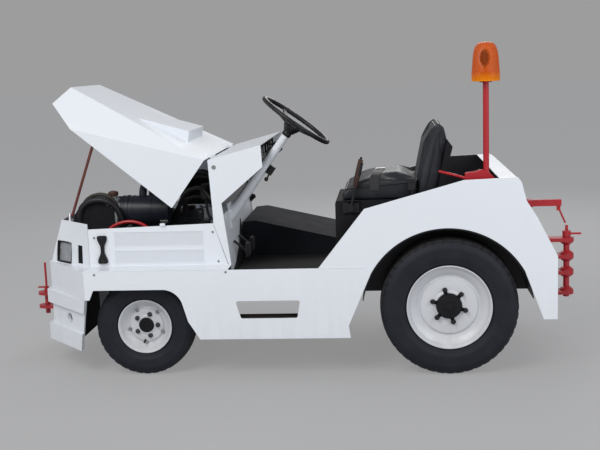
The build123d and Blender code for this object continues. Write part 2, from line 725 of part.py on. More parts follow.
def cooling():
    """Radiator with its fan, the header tank on a strap and the top hose to the engine."""
    x0 = radiator_x
    low, top = rail_z[1], bay_top_z - 34
    half = radiator_half
    strap_y = (half - 25, half - 5)
    with BuildPart() as radiator:
        block((x0, x0 + 60), (-half, half), (low, top))
        block((x0 - 8, x0 + 68), (-half, half), (top, top + 26))
        rod((x0 + 30, 60, top + 20), (x0 + 30, 60, top + 38), 22)
        fan_z = bay_top_z - 154
        rod((x0 - 20, 0, fan_z), (x0 + 2, 0, fan_z), 150)
        rod((x0 - 28, 0, fan_z), (x0 + 2, 0, fan_z), 140, mode=Mode.SUBTRACT)
        block((x0 - 1, x0 + 2), (-142, 142), (fan_z - 142, fan_z + 142))
        rod((x0 - 50, 0, fan_z), (x0 + 2, 0, fan_z), 26)
        for blade in range(6):
            with BuildSketch(Plane.YZ.offset(x0 - 34)) as face:
                with Locations(Location((0, fan_z, 0))):
                    with PolarLocations(76, 1, start_angle=blade * 60):
                        Rectangle(112, 44)
            extrude(face.sketch, amount=5)
        block((x0, x0 + 8), strap_y, (top + 20, bay_top_z + 80))
    save(radiator, "radiator")
    with BuildPart() as tank:
        z = bay_top_z
        x = x0 - gap
        outline = [
            (x, z + 60), (x, z + 100), (x - 16, z + 120), (x - 56, z + 130), (x - 110, z + 117),
            (x - 160, z + 92), (x - 164, z + 82), (x - 110, z + 60), (x - 50, z + 48), (x - 20, z + 48),
        ]
        prism(outline, (half - 35, half + 25))
        rod((x - 134, half - 5, z + 90), (x - 134, half - 5, z + 122), 20)
    save(tank, "coolant_tank")
    with BuildPart() as hose:
        x = x0 - 8 - gap
        y = half - 85
        route = [
            (x, y, top + 8), (x - 45, y, top + 8), (x - 78, y, top + 112),
            (x - 140, y - 25, top + 112), (engine_x[1] - 48, 40, head_z + 66), (engine_x[1] - 48, 40, head_z + gap),
        ]
        pipe(route, (24, 30, 30, 30), 17)
    save(hose, "radiator_hose")


def hood_latches():
    """Rubber draw latch on each engine side panel, wide at both ends and narrow in the middle."""
    x = nose_side_x - 70
    low, high = sill_z + 14, bay_top_z - 54
    middle = (low + high) / 2
    half = [
        (29, low), (29, low + 22), (11, middle - 14), (11, middle + 14), (29, high - 22), (29, high),
    ]
    outline = [(x + out, z) for out, z in half] + [(x - out, z) for out, z in reversed(half)]
    with BuildPart() as latches:
        for side in (-1, 1):
            face = side * (bay_half_width + gap)
            prism(outline, sorted((face, face + side * 14)))
    save(latches, "hood_latches")


def front_hitch():
    """Red tow hook: two plates with a drop pin, bolted to the bumper."""
    face = nose_front_x + bumper_out
    with BuildPart() as piece:
        block((face, face + 12), (-70, 70), (bumper_z[1] - 8, bumper_z[3] - 4))
        for z in (bumper_z[1] + 6, bumper_z[2] - 28):
            with BuildSketch(Plane.XY.offset(z)):
                with Locations((face + 60, 0)):
                    Rectangle(120, 84)
                with Locations((face + 120, 0)):
                    Circle(38)
            extrude(amount=16)
        bolt = face + hook_bolt_x
        rod((bolt, 0, bumper_z[1] - 27), (bolt, 0, bumper_z[2] + 15), 13)
        rod((bolt, 0, bumper_z[2]), (bolt, 0, bumper_z[3] + 80), 6)
        block((bolt, face + hook_reach), (-6, 6), (bumper_z[2] + 8, bumper_z[2] + 16))
    save(piece, "front_hitch")


def tail_face_x(z):
    """X of the tail sheet's outer face on its slanted stretch."""
    high, low = fender_z - 192, fender_z - 380
    return rear_x + 4 + (z - low) / (high - low) * 97


def rear_hitch():
    """Red multi-level coupler: a stack of plates that the drop pin passes through."""
    with BuildPart() as piece:
        block((rear_x - 14, rear_x + 4 - gap), (-90, 90), (coupler_pin_z, coupler_seat_z + 15.7))
        for z in coupler_plate_z:
            with BuildSketch(Plane.XY.offset(z)):
                with Locations(((coupler_x + rear_x) / 2, 0)):
                    Rectangle(rear_x - coupler_x, 2 * coupler_half)
                with Locations((coupler_x, 0)):
                    Circle(coupler_half)
            extrude(amount=coupler_plate_t)
        rod((coupler_x, 0, coupler_pin_z - 50), (coupler_x, 0, coupler_seat_z + 50), coupler_pin_r + 0.6, mode=Mode.SUBTRACT)
        for side in (-1, 1):
            y = sorted((side * 16, side * 26))
            low, high = release_z - 18, release_z + 18
            lug = [(tail_face_x(low), low), (tail_face_x(high), high), (release_x - 16, high), (release_x - 16, low)]
            prism(lug, y)
        rod((release_x, -26, release_z), (release_x, 26, release_z), 6)
    save(piece, "rear_hitch")
    seat = coupler_seat_z
    with BuildPart() as pin:
        rod((coupler_x, 0, coupler_pin_z), (coupler_x, 0, seat + 20), coupler_pin_r)
        rod((coupler_x, 0, seat), (coupler_x, 0, seat + 36), 22)
        rod((coupler_x, 0, seat + 36), (coupler_x, 0, seat + 64.7), 8)
        block((coupler_x - pin_handle, coupler_x), (-8, 8), (seat + 14, seat + 24))
    save(pin, "hitch_pin")


def rear_axle():
    """Rear axle tube with the drive housing, brake drums and mounting pads."""
    z = rear_tyre_r
    end_y = rear_wheel_y - rear_tyre_w / 2 + 4
    with BuildPart() as axle:
        rod((rear_axle_x, -end_y + 30, z), (rear_axle_x, end_y - 30, z), 42)
        bulge = [(-118, 44), (-84, 88), (-36, 118), (36, 118), (84, 88), (118, 44)]
        with BuildSketch(Plane.XY) as housing:
            with BuildLine():
                Polyline((0, -118), *[(r, y) for y, r in bulge], (0, 118), close=True)
            make_face()
        add(Pos(rear_axle_x, 0, z) * revolve(housing.sketch, axis=Axis.Y, mode=Mode.PRIVATE))
        for side in (-1, 1):
            y = sorted((side * rail_inner, side * (rail_y + rail_w / 2)))
            block((rear_axle_x - 45, rear_axle_x + 45), y, (z, rail_z[0]))
            rod((rear_axle_x, side * (end_y - 30), z), (rear_axle_x, side * (end_y - 10), z), 42)
            rod((rear_axle_x, side * (end_y - 10), z), (rear_axle_x, side * (end_y + 28), z), 118)
            rod((rear_axle_x, side * (end_y + 28), z), (rear_axle_x, side * (rear_wheel_y + 14), z), 22)
    save(axle, "rear_axle")


def front_axle():
    """Front beam with kingpin bosses and a leaf spring under each rail."""
    z = front_tyre_r
    with BuildPart() as axle:
        block((front_axle_x - 32, front_axle_x + 32), (-kingpin_y + 20, kingpin_y - 20), (z - 28, z + 28))
        for side in (-1, 1):
            with Locations((front_axle_x, side * kingpin_y, z)):
                Cylinder(28, 60)
            y = sorted((side * rail_inner, side * (rail_y + rail_w / 2)))
            block((front_axle_x - 50, front_axle_x + 50), y, (z + 28, z + 42))
            prism(spring_outline(), y)
        for side in (-1, 1):
            with Locations((front_axle_x, side * kingpin_y, z)):
                Cylinder(kingpin_r + 0.05, 62, mode=Mode.SUBTRACT)
    save(axle, "front_axle")


def spring_outline():
    """Side outline of a leaf spring: a shallow bow with hanger eyes under the rail."""
    z = front_tyre_r + 42
    rise = rail_z[0] - z
    half = 240
    low = [
        (-half, z + rise * 0.73), (-half * 0.6, z + rise * 0.31), (-60, z),
        (60, z), (half * 0.6, z + rise * 0.31), (half, z + rise * 0.73),
    ]
    high = [
        (half + 16, z + rise), (half - 24, z + rise), (half * 0.6, z + rise * 0.49), (0, z + rise * 0.27),
        (-half * 0.6, z + rise * 0.49), (-half + 24, z + rise), (-half - 16, z + rise),
    ]
    return [(front_axle_x + x, height) for x, height in [*low, *high]]


def knuckles():
    """Steering knuckles: a fork round the beam's boss, kingpin, spindle and steering arm."""
    z = front_tyre_r
    for name, side in (("left", 1), ("right", -1)):
        with BuildPart() as knuckle:
            for low in (z - 56, z + 36):
                y = sorted((side * (kingpin_y - 28), side * (kingpin_y + 52)))
                block((front_axle_x - 28, front_axle_x + 28), y, (low, low + 20))
            web = sorted((side * (kingpin_y + 34), side * (kingpin_y + 52)))
            block((front_axle_x - 28, front_axle_x + 28), web, (z - 56, z + 56))
            with Locations((front_axle_x, side * kingpin_y, z)):
                Cylinder(kingpin_r, 112)
            rod((front_axle_x, side * (kingpin_y + 52), z), (front_axle_x, side * (front_wheel_y + 12), z), 18)
            arm = sorted((side * (kingpin_y - 13), side * (kingpin_y + 13)))
            block((front_axle_x - steer_arm - 16, front_axle_x - 28), arm, (z - 56, z - 40))
            rod(
                (front_axle_x - steer_arm, side * kingpin_y, z - 40),
                (front_axle_x - steer_arm, side * kingpin_y, z - 6), tie_pin_r,
            )
        save(knuckle, f"knuckle_{name}")


def tie_rod():
    """Track rod between the two steering arms."""
    x, z = front_axle_x - steer_arm, front_tyre_r - 22
    with BuildPart() as piece:
        rod((x, -kingpin_y + 12, z), (x, kingpin_y - 12, z), 11)
        for side in (-1, 1):
            with Locations((x, side * kingpin_y, z)):
                Cylinder(15, 26)
        for side in (-1, 1):
            with Locations((x, side * kingpin_y, z)):
                Cylinder(tie_pin_r + 0.3, 60, mode=Mode.SUBTRACT)
    save(piece, "tie_rod")


def tyre(name, x, y, radius, width, rim_r):
    """Round tyre with bulging side walls and a slightly crowned tread."""
    half = width / 2
    wall = radius - rim_r
    # Radius and half width of the side wall, from the rim to the tread
    side = [
        (rim_r - 8, half * 0.74), (rim_r + 3, half * 0.74), (rim_r + wall * 0.3, half * 0.96),
        (rim_r + wall * 0.56, half), (rim_r + wall * 0.84, half * 0.92), (radius - 2, half * 0.7),
    ]
    points = [*side, (radius, 0), *[(r, -out) for r, out in reversed(side)]]
    with BuildPart() as piece:
        with BuildSketch(Plane.XY):
            with BuildLine():
                Polyline(*points, close=True)
            make_face()
        revolve(axis=Axis.Y)
    placed = Pos(x, y, radius) * piece.part
    placed.label = name
    export_step(placed, f"parts/{name}.step")


def rim(name, x, y, tyre_r, width, rim_r, studs, stud_r, dish, hub_r, bore_r, side):
    """Steel rim with flanges, dished disc, hub and wheel nuts, facing outward."""
    half = width / 2 * 0.74
    bead = rim_r - 8.3
    disc_y = half - dish
    outer = [(rim_r + 2, -half - 8), (rim_r + 2, -half - 0.5), (bead, -half - 0.5), (bead - 14, 0)]
    inner = [(bead - 19, 0), (bead - 5, half + 8), (bead - 5, -half - 8)]
    with BuildPart() as piece:
        with BuildSketch(Plane.XY):
            with BuildLine():
                Polyline(
                    *outer, (bead, half + 0.5), (rim_r + 2, half + 0.5), (rim_r + 2, half + 8),
                    inner[1], inner[0], inner[2], close=True,
                )
            make_face()
            with BuildLine():
                Polyline(
                    (0, disc_y - dish * 0.7), (hub_r, disc_y - dish * 0.7), (hub_r, disc_y - 4),
                    (bead - 14, disc_y - 4), (bead - 6, disc_y + 10), (bead - 30, disc_y + 8),
                    (hub_r + 26, disc_y + 4), (hub_r, disc_y + dish * 0.6), (0, disc_y + dish * 0.6), close=True,
                )
            make_face()
        revolve(axis=Axis.Y)
        with BuildSketch(Plane.XZ.offset(-disc_y)) as nuts:
            with PolarLocations(stud_r, studs, start_angle=18):
                RegularPolygon(11, 6)
        extrude(nuts.sketch, amount=-28)
        rod((0, -half - 20, 0), (0, disc_y + 4, 0), bore_r, mode=Mode.SUBTRACT)
    outward = piece.part if side > 0 else Rot(0, 0, 180) * piece.part
    placed = Pos(x, y, tyre_r) * outward
    placed.label = name
    export_step(placed, f"parts/{name}.step")


def wheels():
    """Four wheels from one table of places and sizes."""
    table = (
        # name, x, y, tyre radius, tyre width, rim radius, studs, stud circle, dish, hub radius, bore
        ("front", front_axle_x, front_wheel_y, front_tyre_r, front_tyre_w, front_rim_r, 5, 57, 44, 34, 18.4),
        ("rear", rear_axle_x, rear_wheel_y, rear_tyre_r, rear_tyre_w, rear_rim_r, 6, 82, 44, 58, 22.4),
    )
    for end, x, y, tyre_r, tyre_w, rim_r, studs, stud_r, dish, hub_r, bore in table:
        for name, side in (("left", 1), ("right", -1)):
            tyre(f"tyre_{end}_{name}", x, side * y, tyre_r, tyre_w, rim_r)
            rim(f"rim_{end}_{name}", x, side * y, tyre_r, tyre_w, rim_r, studs, stud_r, dish, hub_r, bore, side)


def steering():
    """Tapered column with its bracket, and the three-spoke steering wheel."""
    lean = radians(column_lean)
    up = Vector(-sin(lean), 0, cos(lean))
    centre = Vector(steer_centre[0], steer_y, steer_centre[1])
    shoulder = centre - up * (hub_depth + gap)
    foot_z = (floor_z + 200, floor_z + 330)
    with BuildPart() as column:
        with BuildSketch(Plane(origin=tuple(shoulder), z_dir=tuple(-up))):
            Circle(column_r[0])
        with BuildSketch(Plane(origin=tuple(shoulder - up * 590), z_dir=tuple(-up))):
            Circle(column_r[1])
        loft()
        rod(tuple(shoulder), tuple(centre - up * 22), shaft_r)
        near, far = gap, gap + 8
        foot = [
            (toe_board_x(foot_z[0]) - far, foot_z[0]), (toe_board_x(foot_z[0]) - near, foot_z[0]),
            (toe_board_x(foot_z[1]) - near, foot_z[1]), (toe_board_x(foot_z[1]) - far, foot_z[1]),
        ]
        prism(foot, (steer_y - 50, steer_y + 50))
        ahead = [(toe_board_x(z) - gap, z) for z in (floor_z + 140, floor_z + 400)]
        beyond = toe_top_x + 150
        prism(
            [*ahead, (beyond, floor_z + 400), (beyond, floor_z + 140)],
            (steer_y - 60, steer_y + 60), mode=Mode.SUBTRACT,
        )
    save(column, "steering_column")
    plane = Plane(origin=tuple(centre), x_dir=(0, 1, 0), z_dir=tuple(up))
    hub = [(0, -hub_depth), (22, -hub_depth), (38, -12), (38, -4), (28, 4), (0, 5)]
    with BuildPart() as wheel:
        with BuildSketch(Plane.XZ):
            with Locations((wheel_rim_r - wheel_grip_r, 0)):
                RegularPolygon(wheel_grip_r, 8, rotation=22.5)
        revolve(axis=Axis.Z)
        with BuildSketch(Plane.XZ):
            with BuildLine():
                Polyline(*hub, close=True)
            make_face()
        revolve(axis=Axis.Z)
        for angle in (90, 210, 330):
            with BuildSketch(Plane.XY.rotated((0, 0, angle)).offset(-13)):
                with Locations(((wheel_rim_r - 20) / 2 + 14, 0)):
                    Rectangle(wheel_rim_r - 40, 26)
            extrude(amount=8)
        with Locations((0, 0, -hub_depth + 5)):
            Cylinder(shaft_r + 0.1, 14, mode=Mode.SUBTRACT)
    placed = plane.location * wheel.part
    placed.label = "steering_wheel"
    export_step(placed, "parts/steering_wheel.step")


def controls():
    """Two pedals on the toe board and the parking brake lever beside the seat."""
    z = floor_z + 140
    pad_x = toe_foot_x - 60
    with BuildPart() as pedals:
        for y in (steer_y + 60, steer_y - 110):
            rod((toe_board_x(z) - 5.6, y, z), (pad_x + 16, y, z - 50), 7)
            block((pad_x, pad_x + 12), (y - 30, y + 30), (floor_z + 60, floor_z + 130))
            block((pad_x + 6, pad_x + 22), (y - 10, y + 10), (floor_z + 80, floor_z + 100))
    save(pedals, "pedals")
    with BuildPart() as lever:
        x, y = seat_box_x[1] - 77, seat_y[1]
        z = seat_box_z - 34
        block((x - 40, x + 40), (y, y + 12), (z - 24, z + 24))
        rod((x, y + 20, z), (x - 45, y + 20, z + 196), 7)
        rod((x, y + 12, z), (x, y + 26, z), 16)
        rod((x - 40, y + 20, z + 161), (x - 54, y + 20, z + 221), 12)
    save(lever, "brake_lever")


def headlamps():
    """Ribbed lamps behind the openings in the corner faces."""
    with BuildPart() as lamps:
        for side in (-1, 1):
            with Locations(corner_place(lamp_share, side, depth=lamp_depth)):
                Box(40, lamp_size[0], lamp_size[1])
    save(lamps, "headlamps")


def hood_solid(inset):
    """Closed hood as a solid, or the space inside it when drawn in by its wall."""
    half = bay_half_width - inset
    rear_top = (hood_rear_top[0] - inset, half, hood_rear_top[1] - inset)
    rear_low = (cowl_front_x - 6 - inset, half, bay_top_z + 12 - inset * 8)
    side_low = (nose_side_x + 5, half, bay_top_z + 7)
    front_low = (hood_front_x + 4, nose_corner_y + 18 - inset, bay_top_z + 12)
    front_top = (hood_front_top[0], hood_nose_half - inset, hood_front_top[1])
    if inset:
        side_low = (side_low[0] - inset, half, side_low[2] - inset * 8)
        front_low = (front_low[0] - inset, front_low[1], front_low[2] - inset * 8)
        front_top = (front_top[0] - inset, front_top[1], front_top[2] - inset)
    with BuildPart() as solid:
        outline = [(p[0], p[2]) for p in (rear_top, rear_low, side_low, front_low, front_top)]
        prism(outline, (-half, half))
        top = (hood_front_top[0], hood_nose_half, hood_front_top[1])
        low = (hood_front_x + 4, nose_corner_y + 18, bay_top_z + 12)
        side = (nose_side_x + 5, bay_half_width, bay_top_z + 7)
        rear = (hood_rear_top[0], bay_half_width, hood_rear_top[1])
        for corners in ((rear, side, top), (side, low, top)):
            for mirror_y in (1, -1):
                a, b, c = (Vector(p[0], p[1] * mirror_y, p[2]) for p in corners)
                normal = (b - a).cross(c - a).normalized()
                if normal.Y * mirror_y < 0:
                    normal = normal * -1
                split(bisect_by=Plane(origin=a - normal * inset, z_dir=normal), keep=Keep.BOTTOM)
    return solid.part


def hood_top_z(x):
    """Height of the closed hood's top sheet at this X."""
    run = hood_front_top[0] - hood_rear_top[0]
    return hood_rear_top[1] + (x - hood_rear_top[0]) * (hood_front_top[1] - hood_rear_top[1]) / run


def bulge():
    """Raised wedge on the hood over the air cleaner, open to the engine bay and closed at its step."""
    front, rear = scoop_x
    top = hood_top_z(rear) + scoop_h
    prism([(front, hood_top_z(front) - 2), (rear, top), (rear - 30, hood_top_z(rear - 30) - 2)], (-scoop_half, scoop_half))
    inner = scoop_half - hood_t
    start = front - (hood_t + 1) * (front - rear) / scoop_h
    hollow = [
        (start, hood_top_z(start) - 3 * hood_t), (start, hood_top_z(start) + 0.5), (rear, top - hood_t),
        (rear - 30 + hood_t, hood_top_z(rear - 30) + 0.5), (rear - 30 + hood_t, hood_top_z(rear) - 3 * hood_t),
    ]
    prism(hollow, (-inner, inner), mode=Mode.SUBTRACT)


def hood_ears():
    """Hinge ears on the hood, one each side of both barrels on the cowl."""
    strap = [
        (hinge_x, hinge_z - 6.5), (hinge_x, hinge_z - 1),
        (hinge_x + 40, hood_top_z(hinge_x + 40) + 4), (hinge_x + 40, hood_top_z(hinge_x + 40) - 2),
    ]
    for side in (-1, 1):
        for low in (side * hinge_y - 51, side * hinge_y + 31):
            prism(strap, (low, low + 20))
            rod((hinge_x, low, hinge_z), (hinge_x, low + 20, hinge_z), barrel_r)
            rod((hinge_x, low, hinge_z), (hinge_x, low + 20, hinge_z), hinge_pin_r + 0.1, mode=Mode.SUBTRACT)


def hood():
    """Folded sheet hood with its raised wedge, drawn closed and turned up about the hinge."""
    with BuildPart() as shell:
        add(hood_solid(0))
        add(hood_solid(hood_t), mode=Mode.SUBTRACT)
        bulge()
        hood_ears()
    opened = Pos(hinge_x, 0, hinge_z) * Rot(0, -hood_open_angle, 0) * Pos(-hinge_x, 0, -hinge_z) * shell.part
    opened.label = "hood"
    export_step(opened, "parts/hood.step")


def hood_prop():
    """Bent stay: its short leg turns in the front panel's ear, and its tip holds up the hood's side."""
    x, y, z = prop_foot
    with BuildPart() as prop:
        rod(prop_foot, prop_tip, prop_r)
        rod((x - 4, y, z), (x + 22, y, z), prop_r)
    save(prop, "hood_prop")


def release_arm():
    """Lift lever of the drop pin with its hanging link."""
    x = release_x
    with BuildPart() as arm:
        block((coupler_x + 29, x), (-13, 13), (release_z - 17, release_z + 17))
        rod((x, -15.7, release_z), (x, 15.7, release_z), 17)
        rod((x, -20, release_z), (x, 20, release_z), 6.1, mode=Mode.SUBTRACT)
        block((coupler_x + 33, coupler_x + 53), (-5, 5), (release_z - 42, release_z - 17))
        rod((coupler_x + 39, 0, release_z - 36), (coupler_x + 7, 0, coupler_seat_z + 76.7), 5)
    save(arm, "release_arm")


for side in ("left", "right"):
    side_plate(side)
chassis_frame()
front_panel()
bumper()
engine_panels()
cowl()
dash()
bulkhead()
floor()
gearbox_cover()
rear_deck()
rear_panel()
wheel_houses()
seat()
beacon()
engine()
cooling()
hood_latches()
front_hitch()
rear_hitch()
rear_axle()
front_axle()
knuckles()
tie_rod()
wheels()
steering()
controls()
headlamps()
hood()
hood_prop()
release_arm()
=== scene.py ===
import json
import math

import bmesh
import bpy
import numpy as np
from mathutils import Matrix, Vector
from mathutils.bvhtree import BVHTree

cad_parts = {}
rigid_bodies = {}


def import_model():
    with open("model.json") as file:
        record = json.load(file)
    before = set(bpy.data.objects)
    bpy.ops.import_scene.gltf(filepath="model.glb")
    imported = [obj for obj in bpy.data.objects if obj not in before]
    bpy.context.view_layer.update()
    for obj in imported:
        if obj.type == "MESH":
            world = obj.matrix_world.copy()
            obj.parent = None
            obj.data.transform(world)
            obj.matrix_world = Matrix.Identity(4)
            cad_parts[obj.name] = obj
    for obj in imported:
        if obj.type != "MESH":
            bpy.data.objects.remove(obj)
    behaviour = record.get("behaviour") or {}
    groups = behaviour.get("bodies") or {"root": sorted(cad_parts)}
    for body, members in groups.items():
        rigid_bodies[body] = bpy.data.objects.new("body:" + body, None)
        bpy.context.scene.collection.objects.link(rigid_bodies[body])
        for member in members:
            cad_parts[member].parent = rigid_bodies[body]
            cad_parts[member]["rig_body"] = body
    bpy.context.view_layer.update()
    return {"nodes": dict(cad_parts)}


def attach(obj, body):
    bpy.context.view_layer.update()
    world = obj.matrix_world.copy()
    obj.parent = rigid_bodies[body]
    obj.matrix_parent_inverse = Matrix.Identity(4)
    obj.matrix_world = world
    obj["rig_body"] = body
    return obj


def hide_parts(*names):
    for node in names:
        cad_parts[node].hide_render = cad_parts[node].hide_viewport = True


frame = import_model()
nodes = frame["nodes"]
print("stage: frame loaded,", len(nodes), "nodes")


class Socket:
    # One output of a shader node, which takes part in sums as a plain number does.
    def __init__(self, finish, output):
        self.finish = finish
        self.output = output

    # The result of a math node on these values.
    def calc(self, operation, *values):
        return self.finish.add("ShaderNodeMath", {"operation": operation}, dict(enumerate(values)))

    def __add__(self, other):
        return self.calc("ADD", self, other)

    def __radd__(self, other):
        return self.calc("ADD", other, self)

    def __sub__(self, other):
        return self.calc("SUBTRACT", self, other)

    def __rsub__(self, other):
        return self.calc("SUBTRACT", other, self)

    def __mul__(self, other):
        return self.calc("MULTIPLY", self, other)

    def __rmul__(self, other):
        return self.calc("MULTIPLY", other, self)

    def __pow__(self, other):
        return self.calc("POWER", self, other)

    # Held between 0 and 1.
    def clip(self):
        return self.calc("MINIMUM", self.calc("MAXIMUM", self, 0.0), 1.0)

    # 1 above an edge, and 0 below it.
    def above(self, edge):
        return self.calc("GREATER_THAN", self, edge)

    def sine(self):
        return self.calc("SINE", self)


class Finish:
    # A material with one Principled shader, whose constant sockets are given by name.
    def __init__(self, name, **fixed):
        self.material = bpy.data.materials.new(name)
        self.material.use_nodes = True
        self.tree = self.material.node_tree
        self.shader = self.tree.nodes["Principled BSDF"]
        for socket, value in fixed.items():
            self.shader.inputs[socket.replace("_", " ")].default_value = value
        self.place = self.add("ShaderNodeTexCoord", {}, {}, "Object")

    # Adds any node: its settings first, then the values or links of its sockets.
    def add(self, kind, settings, inputs, output=0):
        node = self.tree.nodes.new(kind)
        for key, value in settings.items():
            setattr(node, key, value)
        for key, value in inputs.items():
            self.feed(node.inputs[key], value)
        return Socket(self, node.outputs[output])

    # Links a socket, or gives it a constant. A colour in three parts is made opaque.
    def feed(self, socket, value):
        if isinstance(value, Socket):
            self.tree.links.new(value.output, socket)
        elif hasattr(socket.default_value, "__len__") and len(value) == 3 and len(socket.default_value) == 4:
            socket.default_value = (*value, 1.0)
        else:
            socket.default_value = value

    # Sets a varying socket of the shader.
    def set(self, **links):
        for socket, value in links.items():
            self.feed(self.shader.inputs[socket.replace("_", " ")], value)
        return self

    # Cloud noise, its scale in clouds to the metre.
    def noise(self, scale, detail=3.0, rough=0.55, warp=0.0, at=None):
        inputs = {"Vector": at or self.place, "Scale": scale, "Detail": detail, "Roughness": rough, "Distortion": warp}
        return self.add("ShaderNodeTexNoise", {}, inputs)

    # Distance from the nearest of scattered points, blended where their cells meet.
    def cells(self, scale):
        return self.add("ShaderNodeTexVoronoi", {"feature": "SMOOTH_F1"}, {"Vector": self.place, "Scale": scale})

    # A value pulled to 0 below one level and to 1 above another.
    def between(self, value, low, high):
        return self.add("ShaderNodeMapRange", {"clamp": True}, {"Value": value, "From Min": low, "From Max": high})

    # A colour between two: first (1 - share) + second share.
    def mix(self, share, first, second):
        inputs = {0: share, 6: first, 7: second}
        return self.add("ShaderNodeMix", {"data_type": "RGBA"}, inputs, 2)

    # The place's own x, y and z.
    def axes(self):
        split = self.tree.nodes.new("ShaderNodeSeparateXYZ")
        self.feed(split.inputs[0], self.place)
        return [Socket(self, out) for out in split.outputs]

    # The place with each of its axes scaled.
    def stretch(self, x, y, z):
        return self.add("ShaderNodeMapping", {}, {"Vector": self.place, "Scale": (x, y, z)})

    # Shades the surface as if it stood higher by height times distance.
    def bump(self, height, strength, distance):
        inputs = {"Height": height, "Strength": strength, "Distance": distance}
        return self.set(Normal=self.add("ShaderNodeBump", {}, inputs))


paint = {
    "white": (0.76, 0.79, 0.84), "whiteDust": (0.56, 0.56, 0.57), "primer": (0.30, 0.31, 0.33),
    "wheel": (0.60, 0.61, 0.64), "wheelDust": (0.40, 0.39, 0.38),
    "black": (0.012, 0.012, 0.015), "blackDust": (0.035, 0.034, 0.034),
    "tread": (0.022, 0.018, 0.017), "red": (0.42, 0.010, 0.018), "redWorn": (0.20, 0.030, 0.03),
    "steel": (0.30, 0.29, 0.28), "peel": 420.0, "peelDepth": 0.00035,
}


# Sprayed enamel: tone drifts in large soft clouds, dust gathers below a height and in upright streaks, specks are
# chipped to the bare layer, and the film has a fine orange peel over longer, flatter waves. It is made black where
# |y| is less than a limit, between two heights: painted shade under the dash on the cowl and the toe board, and
# black inner faces on the side plates.
def enamel(name, colour, dust, bare, dustTop, dirt, chips, rough, gloss=1.5, blackInsideAndShade=None, heights=(-9.0, 9.0)):
    finish = Finish(name, Coat_Roughness=0.18, IOR=gloss)
    x, y, z = finish.axes()
    cloud = finish.noise(2.2, 4.0)
    streak = finish.noise(1.0, 5.0, 0.6, 0.4, at=finish.stretch(26, 26, 2.5))
    low = finish.between(z, dustTop, 0.12)
    grime = ((low * finish.between(streak, 0.35, 0.72) * 0.8 + finish.between(cloud, 0.52, 0.78) * 0.12) * dirt).clip()
    chip = finish.between(finish.noise(46, 6.0, 0.72) + low * 0.03, chips, chips + 0.012)
    tint = finish.mix(grime, colour, dust)
    # Black where |y| is under the limit and z is between the heights: painted shade under the dash on the cowl and toe
    # board, black inner faces on the side plates.
    if blackInsideAndShade:
        inside = (1 - (y * y).above(blackInsideAndShade ** 2)) * z.above(heights[0]) * (1 - z.above(heights[1]))
        tint = finish.mix(inside, tint, paint["black"])
    coat = 0.30 if gloss > 1.4 else 0.08
    finish.set(Base_Color=finish.mix(chip, tint, bare), Coat_Weight=coat * (1 - grime).clip() * (1 - chip))
    finish.set(Roughness=(rough + grime * 0.28 + chip * 0.22 + finish.noise(90, 2.0) * 0.06).clip())
    film = finish.noise(paint["peel"], 2.0) * 0.35
    film = film + finish.noise(34, 3.0, at=finish.stretch(1, 1, 5)) * 0.5 - chip * 0.6
    return finish.bump(film, 0.2, paint["peelDepth"]).material


white = (paint["white"], paint["whiteDust"], paint["primer"], 0.55, 0.40, 0.82, 0.32)
whitePaint = enamel("whitePaint", *white)
platePaint = enamel("platePaint", *white, blackInsideAndShade=0.6132)
# Cowl and toe board: the black inside them, between their heights, is painted shade under the dash.
cowlPaintWithShade = enamel("cowlPaintWithShade", *white, blackInsideAndShade=0.4902, heights=(0.79, 1.055))
toePaintWithShade = enamel("toePaintWithShade", *white, blackInsideAndShade=0.9, heights=(0.795, 2.0))
wheelPaint = enamel("wheelPaint", paint["wheel"], paint["wheelDust"], paint["primer"], 0.30, 0.60, 0.79, 0.36)
floorPaint = enamel("floorPaint", paint["tread"], paint["blackDust"], paint["steel"], 0.5, 0.5, 0.78, 0.62, 1.34)
blackPaint = enamel("blackPaint", paint["black"], paint["blackDust"], paint["steel"], 0.5, 0.5, 0.78, 0.48, 1.34)
redPaint = enamel("redPaint", paint["red"], paint["redWorn"], paint["steel"], 0.7, 0.7, 0.735, 0.34)


# Dull metal: base tone between two greys by cloud noise, with darker pits from fine noise.
def dullMetal(name, tone, rough, metallic, pits=160.0):
    finish = Finish(name, IOR=1.5)
    cloud = finish.between(finish.noise(24, 5.0), 0.35, 0.7)
    pit = finish.between(finish.noise(pits, 4.0), 0.3, 0.62)
    dark = tuple(part * 0.45 for part in tone)
    finish.set(Base_Color=finish.mix(cloud * 0.6 + pit * 0.4, dark, tone), Metallic=metallic)
    finish.set(Roughness=(rough + cloud * 0.18).clip())
    return finish.bump(pit + finish.noise(pits * 3, 2.0) * 0.4, 0.35, 0.0004).material


darkMetal = dullMetal("darkMetal", (0.075, 0.070, 0.068), 0.42, 0.6)
castIron = dullMetal("castIron", (0.060, 0.068, 0.082), 0.55, 0.35, 90.0)
zincSteel = dullMetal("zincSteel", (0.50, 0.50, 0.49), 0.34, 0.9)
rustyRed = dullMetal("rustyRed", (0.23, 0.062, 0.052), 0.52, 0.1)


# Rubber and moulded plastic: near black with a grey bloom that fades in and out, and a fine grain.
def rubberLike(name, tone, bloom, rough, grain, gloss=1.5):
    finish = Finish(name, IOR=gloss)
    bloomed = finish.between(finish.noise(9, 5.0, 0.6), 0.38, 0.75)
    finish.set(Base_Color=finish.mix(bloomed * 0.7, tone, bloom), Roughness=(rough + bloomed * 0.12).clip())
    return finish.bump(finish.noise(grain, 4.0), 0.3, 0.0005).material


